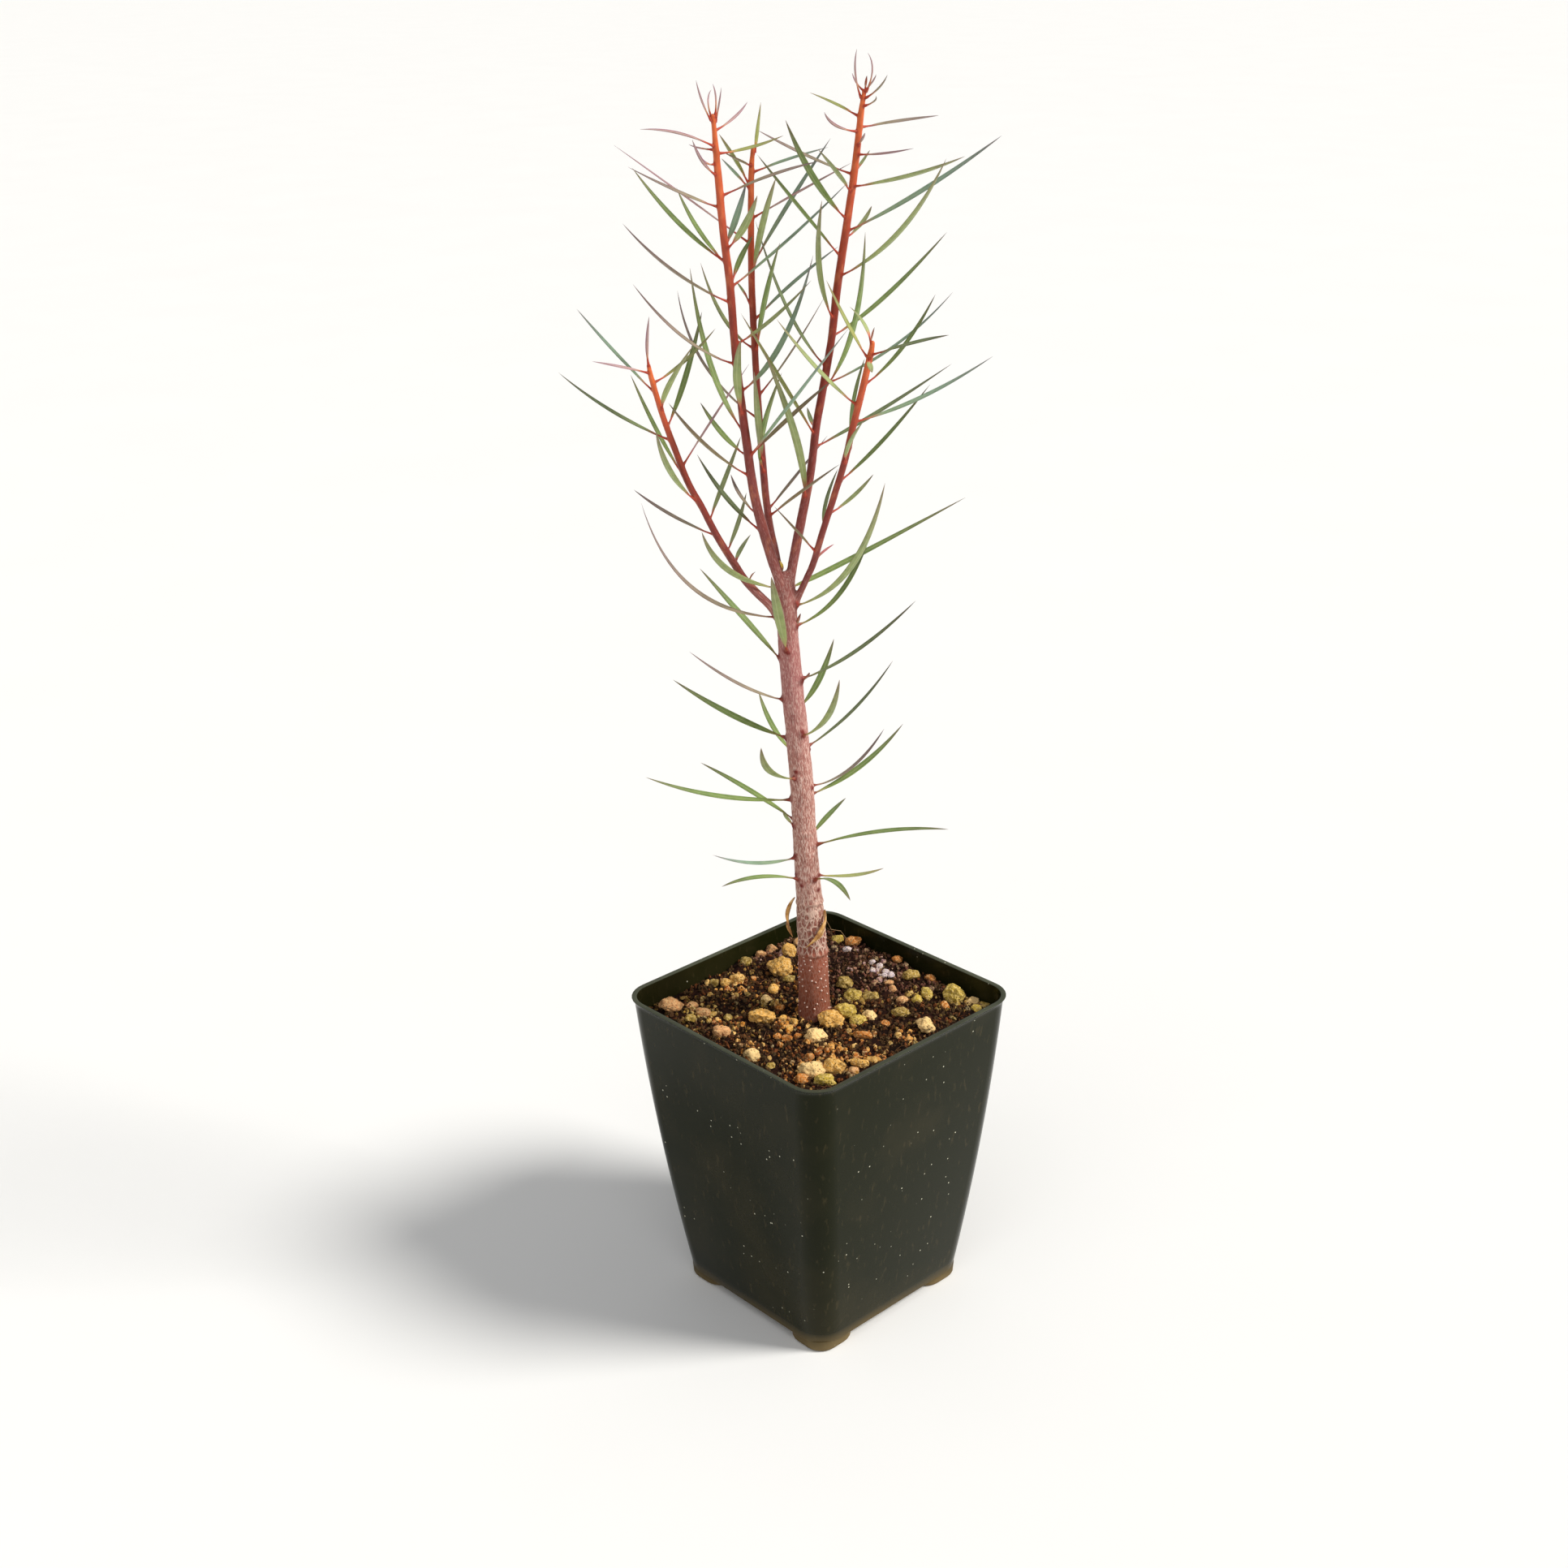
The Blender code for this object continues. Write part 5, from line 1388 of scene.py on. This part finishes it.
def leaf_widths(along, stalk, real, length, knob):
    """Half width of the blade and radius of the stalk and midrib at a share of a leaf's length."""
    stalk_share = stalk / length
    if along < stalk_share:
        swell = max(0, 1 - along * length / 2.2)
        return 0.24, 0.25 + (knob - 0.25) * swell * swell * (3 - 2 * swell)
    share = (along - stalk_share) / (1 - stalk_share)
    blade = 0.46 * real * math.sin(math.pi * min(1, share ** 0.82)) ** 0.72
    blade = max(blade, 0.24 * (1 - share) + 0.03)
    return blade, 0.25 * (1 - share) ** 1.6 + 0.02


def curve_point(foot, control, tip, share):
    """Place at a share of a curve that leaves its foot and meets its tip on the control's side."""
    return foot * (1 - share) ** 2 + control * 2 * share * (1 - share) + tip * share ** 2


def leaf_stations(plant, stem, rng):
    """Lines of the leaves of a stem, as line_mesh takes them."""
    alongs = [(station / (LEAF_STATIONS - 1)) ** 1.15 for station in range(LEAF_STATIONS)]
    lines = []
    for row in LEAVES[stem]:
        foot, control, tip = leaf_line(stem, row)
        seen, tints = row[6], [Vector(shade(code)) for code in TINTS[row[7]]]
        length = ((control - foot).length + (tip - control).length) / MM
        needle = seen <= 0.65 or row[7] == "m"
        real = seen * 1.1 if needle else max(min(plant.leaf_width / MM, 0.1 * length + 0.5), seen * 1.04)
        stalk = min(2.4, 0.12 * length)
        line = [curve_point(foot, control, tip, along) for along in alongs]
        rolls = leaf_rolls(line, seen, real)
        swing = rng.uniform(-0.25, 0.25)
        knob = 0.8 if stem == "trunk" else 0.42
        lines.append([])
        for place, roll, along in zip(line, rolls, alongs):
            half_width, rib = leaf_widths(along, stalk, real, length, min(knob, 0.05 * length))
            if needle:
                half_width = max(half_width, 0.3 * real * (1 - along) ** 0.5)
                rib = max(rib, half_width * 0.5)
            lines[-1].append((
                place, half_width * MM, rib * MM, roll + swing * (along - 0.5), along,
                leaf_tint(tints, along, length, stem == "trunk")))
    return lines


def leaf_tint(tints, along, length, grown):
    """Colour along a leaf: dark red knob, red stalk, then the blade, and a dark point."""
    knob = Vector(shade("#8c2a1c" if grown else "#b3361f"))
    stalk = tints[0] * 0.25 + tints[1] * 0.75 if grown else tints[0]
    stops = (0, 2.0 / length, 3.0 / length, 3.0 / length + 0.12, 0.6, 0.84, 1)
    colours = (knob, knob, stalk, tints[1], tints[2], tints[2] * 0.6 + tints[3] * 0.4, tints[3])
    for index in range(len(stops) - 1):
        if along <= stops[index + 1]:
            share = (along - stops[index]) / (stops[index + 1] - stops[index])
            return tuple(colours[index] * (1 - share) + colours[index + 1] * share)
    return tuple(colours[-1])


def line_mesh(name, lines):
    """A mesh of open lines. Each station is a place, half width, rib, roll, share along and tint."""
    stations = [station for line in lines for station in line]
    starts = np.cumsum([0, *[len(line) for line in lines]])
    edges = [(index, index + 1) for index in range(len(stations)) if index + 1 not in starts]
    mesh = bpy.data.meshes.new(name)
    mesh.from_pydata([station[0] for station in stations], edges, [])
    for index, key in enumerate(("half_width", "rib", "roll", "along"), 1):
        float_attribute(mesh, key, [station[index] for station in stations])
    float_attribute(mesh, "tint", [station[5] for station in stations], "FLOAT_COLOR")
    return mesh


def build_leaves(plant):
    rng = random.Random(11)
    material = leaf_material()
    tree = leaf_tree()
    values = {"Fold": plant.leaf_fold, "Thickness": plant.leaf_thickness, "Material": material}
    for stem in LEAVES:
        mesh = line_mesh(f"leaves_{stem}", leaf_stations(plant, stem, rng))
        own = "leaf_trunk" if stem == "trunk" else f"leaf_shoot_{stem}"
        names = sorted(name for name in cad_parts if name.startswith(own))
        add_piece(f"leaves_{stem}", apply_tree(mesh, tree, values), names)


def dried_material():
    """Dried leaf: papery, straw coloured, darker along its folds."""
    material, tree = new_material("dried_leaf_paper")
    across = add_node(tree, "ShaderNodeAttribute", output="Fac", attribute_name="across")
    blotch = grain(tree, add_node(tree, "ShaderNodeTexCoord", output="Object"), 1.2 * MM, 4)
    colour = add_node(
        tree, "ShaderNodeValToRGB", {0: blotch},
        stops=((0.35, shade("#94602f")), (0.5, shade("#cc9850")), (0.65, shade("#ecc894"))))
    fold = add_node(
        tree, "ShaderNodeValToRGB", {0: add_node(tree, "ShaderNodeMath", {0: across}, operation="ABSOLUTE")},
        stops=((0.1, 0.6), (0.4, 0)))
    colour = add_node(tree, "ShaderNodeMix", {0: fold, 6: colour, 7: shade("#8a5a34")}, 2, data_type="RGBA")
    return coated(material, colour, {"Roughness": 0.7}, blotch, 0.2 * MM)


def off_trunk(degrees, height, distance):
    """World place at a distance off the trunk's bark."""
    right, back, thickness = stem_at("trunk", height)
    reach = thickness / 2 + distance
    angle = math.radians(degrees)
    return plant_point(right + reach * math.sin(angle), height, back - reach * math.cos(angle))


def build_dried_leaves():
    lines = []
    for rows in DRIED_LEAVES:
        foot, middle, tip = [off_trunk(*row) for row in rows]
        control = 2 * middle - (foot + tip) / 2
        lines.append([])
        for station in range(DRIED_STATIONS):
            share = station / (DRIED_STATIONS - 1)
            width = 0.2 + 1.0 * math.sin(math.pi * share ** 0.8) ** 0.8
            lines[-1].append((
                curve_point(foot, control, tip, share), width * (1 - share ** 8) * MM + 0.03 * MM, 0.12 * MM,
                0.9 + 0.7 * math.sin(3.2 * share), share, shade("#c08f58")))
    values = {"Fold": 0.5, "Thickness": 0.12, "Material": dried_material()}
    mesh = apply_tree(line_mesh("dried_leaves", lines), leaf_tree(), values)
    add_piece("dried_leaves", mesh, ["dried_leaf_1", "dried_leaf_2"])


def build_fibres(soil):
    """Root hairs and bark fibres lying on the soil, and one thread behind the trunk."""
    rng = random.Random(soil.seed + 2)
    lines = [[plant_point(2.6, 34, 3), plant_point(4.4, 30, 6), plant_point(7.4, 29.4, 8), plant_point(9.6, 26, 9)]]
    for _ in range(soil.fibres):
        x, y = free_place(rng, 6 * MM)
        turn, length = rng.uniform(0, 6.28), rng.uniform(2, 5) * MM
        line = []
        for _ in range(5):
            turn += rng.uniform(-0.5, 0.5)
            x, y = x + math.cos(turn) * length / 5, y + math.sin(turn) * length / 5
            line.append(Vector((x, y, soil_height(soil, x, y) + rng.uniform(0.2, 0.8) * MM)))
        lines.append(line)
    threads = []
    for number, line in enumerate(lines):
        tint = shade("#a88a68") if number == 0 else shade(rng.choice(("#6a3f28", "#8a5a3a", "#4a2c1c")))
        thin = (0.09 if number == 0 else 0.07) * MM
        threads.append([(place, thin, thin, 0.0, index / 4, tint) for index, place in enumerate(line)])
    values = {"Fold": 0.2, "Thickness": 0.8, "Material": crumb_material()}
    add_piece("fibres", apply_tree(line_mesh("fibres", threads), leaf_tree(), values))


# ---------------------------------------------------------------- stage


def paper_material(stage):
    """Seamless paper: pale and matt, faintly mottled."""
    material, tree = new_material("seamless_paper")
    soft = grain(tree, add_node(tree, "ShaderNodeTexCoord", output="Object"), 60 * MM, 2)
    colour = add_node(
        tree, "ShaderNodeMix",
        {
            0: add_node(tree, "ShaderNodeValToRGB", {0: soft}, stops=((0.3, 0), (0.7, 0.06))),
            6: tuple(stage.floor_colour), 7: shade("#dcdcda")},
        2, data_type="RGBA")
    return coated(material, colour, {"Roughness": 0.9})


def add_light(name, towards, spread, strength, colour):
    """A soft distant light; towards points from the plant to it, as right, up and back of the viewer."""
    right, up, back = towards
    data = bpy.data.lights.new(name, "SUN")
    data.angle = math.radians(spread)
    data.energy = strength
    data.color = colour
    light = bpy.data.objects.new(name, data)
    aim = Matrix.Rotation(PLANT_TURN, 3, "Z") @ Vector((-right, -back, -up))
    light.rotation_euler = aim.to_track_quat("-Z", "Y").to_euler()
    bpy.context.scene.collection.objects.link(light)


def build_stage(stage):
    form = bmesh.new()
    bmesh.ops.create_grid(form, x_segments=8, y_segments=8, size=40)
    mesh = filled_mesh(form, "paper_floor")
    mesh.materials.append(paper_material(stage))
    paper = bpy.data.objects.new("paper_floor", mesh)
    bpy.context.scene.collection.objects.link(paper)
    world = bpy.data.worlds.new("studio")
    world.use_nodes = True
    sky = world.node_tree.nodes["Background"]
    sky.inputs["Color"].default_value = (1, 1, 1, 1)
    sky.inputs["Strength"].default_value = stage.sky
    bpy.context.scene.world = world
    bpy.context.scene.view_settings.view_transform = "Standard"
    add_light("key", (0.95, 0.85, -0.2), 20, stage.key, (1, 0.975, 0.93))
    add_light("fill", (-0.3, 1, -0.9), 60, stage.fill, (0.98, 0.99, 1))


def build_camera(pot):
    data = bpy.data.cameras.new("front")
    data.lens = 48.45
    data.sensor_width = 36
    data.clip_start = 0.01
    place = viewer_place()
    ahead = (Vector((0, 0, pot.height)) - place).normalized()
    right = ahead.cross(Vector((0, 0, 1))).normalized()
    up = right.cross(ahead)
    pitch = Matrix.Rotation(math.radians(5.7), 3, right)
    ahead, up = pitch @ ahead, pitch @ up
    yaw = Matrix.Rotation(math.radians(0.83), 3, up)
    ahead, right = yaw @ ahead, yaw @ right
    roll = Matrix.Rotation(math.radians(1.01), 3, ahead)
    right, up = roll @ right, roll @ up
    camera = bpy.data.objects.new("front", data)
    camera.matrix_world = Matrix.Translation(place) @ Matrix((right, up, -ahead)).transposed().to_4x4()
    bpy.context.scene.collection.objects.link(camera)
    bpy.context.scene.camera = camera


# ---------------------------------------------------------------- operators


class EUPHORBIA_OT_pot(bpy.types.Operator):
    """Build the square nursery pot with its rim, toes and drain holes"""
    bl_idname = "euphorbia.pot"
    bl_label = "Pot"

    def execute(self, context):
        build_pot(context.scene.euphorbia_pot)
        return {"FINISHED"}


class EUPHORBIA_OT_soil(bpy.types.Operator):
    """Build the peat that fills the pot"""
    bl_idname = "euphorbia.soil"
    bl_label = "Soil"

    def execute(self, context):
        build_soil(context.scene.euphorbia_soil, context.scene.euphorbia_pot)
        return {"FINISHED"}


class EUPHORBIA_OT_stones(bpy.types.Operator):
    """Lay the pumice stones on the soil"""
    bl_idname = "euphorbia.stones"
    bl_label = "Pumice"

    def execute(self, context):
        build_stones(context.scene.euphorbia_soil)
        return {"FINISHED"}


class EUPHORBIA_OT_grit(bpy.types.Operator):
    """Scatter grit, crumbs and fibres over the soil"""
    bl_idname = "euphorbia.grit"
    bl_label = "Grit and crumbs"

    def execute(self, context):
        build_grit(context.scene.euphorbia_soil)
        build_fibres(context.scene.euphorbia_soil)
        return {"FINISHED"}


class EUPHORBIA_OT_stems(bpy.types.Operator):
    """Grow the trunk and its shoots as one skin of bark, with lenticels"""
    bl_idname = "euphorbia.stems"
    bl_label = "Stems"

    def execute(self, context):
        build_stems(context.scene.euphorbia_plant)
        build_lenticels(context.scene.euphorbia_plant)
        return {"FINISHED"}


class EUPHORBIA_OT_leaves(bpy.types.Operator):
    """Grow the leaves of every stem, and the dried ones on the trunk"""
    bl_idname = "euphorbia.leaves"
    bl_label = "Leaves"

    def execute(self, context):
        build_leaves(context.scene.euphorbia_plant)
        build_dried_leaves()
        return {"FINISHED"}


class EUPHORBIA_OT_stage(bpy.types.Operator):
    """Set up the paper floor, the studio lights and the camera"""
    bl_idname = "euphorbia.stage"
    bl_label = "Stage"

    def execute(self, context):
        build_stage(context.scene.euphorbia_stage)
        build_camera(context.scene.euphorbia_pot)
        return {"FINISHED"}


OPERATORS = (
    EUPHORBIA_OT_pot, EUPHORBIA_OT_soil, EUPHORBIA_OT_stones, EUPHORBIA_OT_grit, EUPHORBIA_OT_stems,
    EUPHORBIA_OT_leaves, EUPHORBIA_OT_stage,
)
SETTINGS = {
    "euphorbia_pot": PotSettings, "euphorbia_soil": SoilSettings, "euphorbia_plant": PlantSettings,
    "euphorbia_stage": StageSettings,
}


class EUPHORBIA_PT_panel(bpy.types.Panel):
    """The pieces of the potted euphorbia and their settings"""
    bl_label = "Potted euphorbia"
    bl_space_type = "VIEW_3D"
    bl_region_type = "UI"
    bl_category = "Euphorbia"

    def draw(self, context):
        for operator in OPERATORS:
            self.layout.operator(operator.bl_idname)
        for name, group in SETTINGS.items():
            box = self.layout.box()
            for key in group.__annotations__:
                box.prop(getattr(context.scene, name), key)


def register():
    for group in (*SETTINGS.values(), *OPERATORS, EUPHORBIA_PT_panel):
        bpy.utils.register_class(group)
    for name, group in SETTINGS.items():
        setattr(bpy.types.Scene, name, PointerProperty(type=group))


def unregister():
    for name in SETTINGS:
        delattr(bpy.types.Scene, name)
    for group in (EUPHORBIA_PT_panel, *reversed(OPERATORS), *SETTINGS.values()):
        bpy.utils.unregister_class(group)


def main():
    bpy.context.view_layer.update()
    register()
    bpy.ops.euphorbia.pot()
    bpy.ops.euphorbia.soil()
    bpy.ops.euphorbia.stones()
    bpy.ops.euphorbia.grit()
    bpy.ops.euphorbia.stems()
    bpy.ops.euphorbia.leaves()
    bpy.ops.euphorbia.stage()


if __name__ == "__main__":
    main()
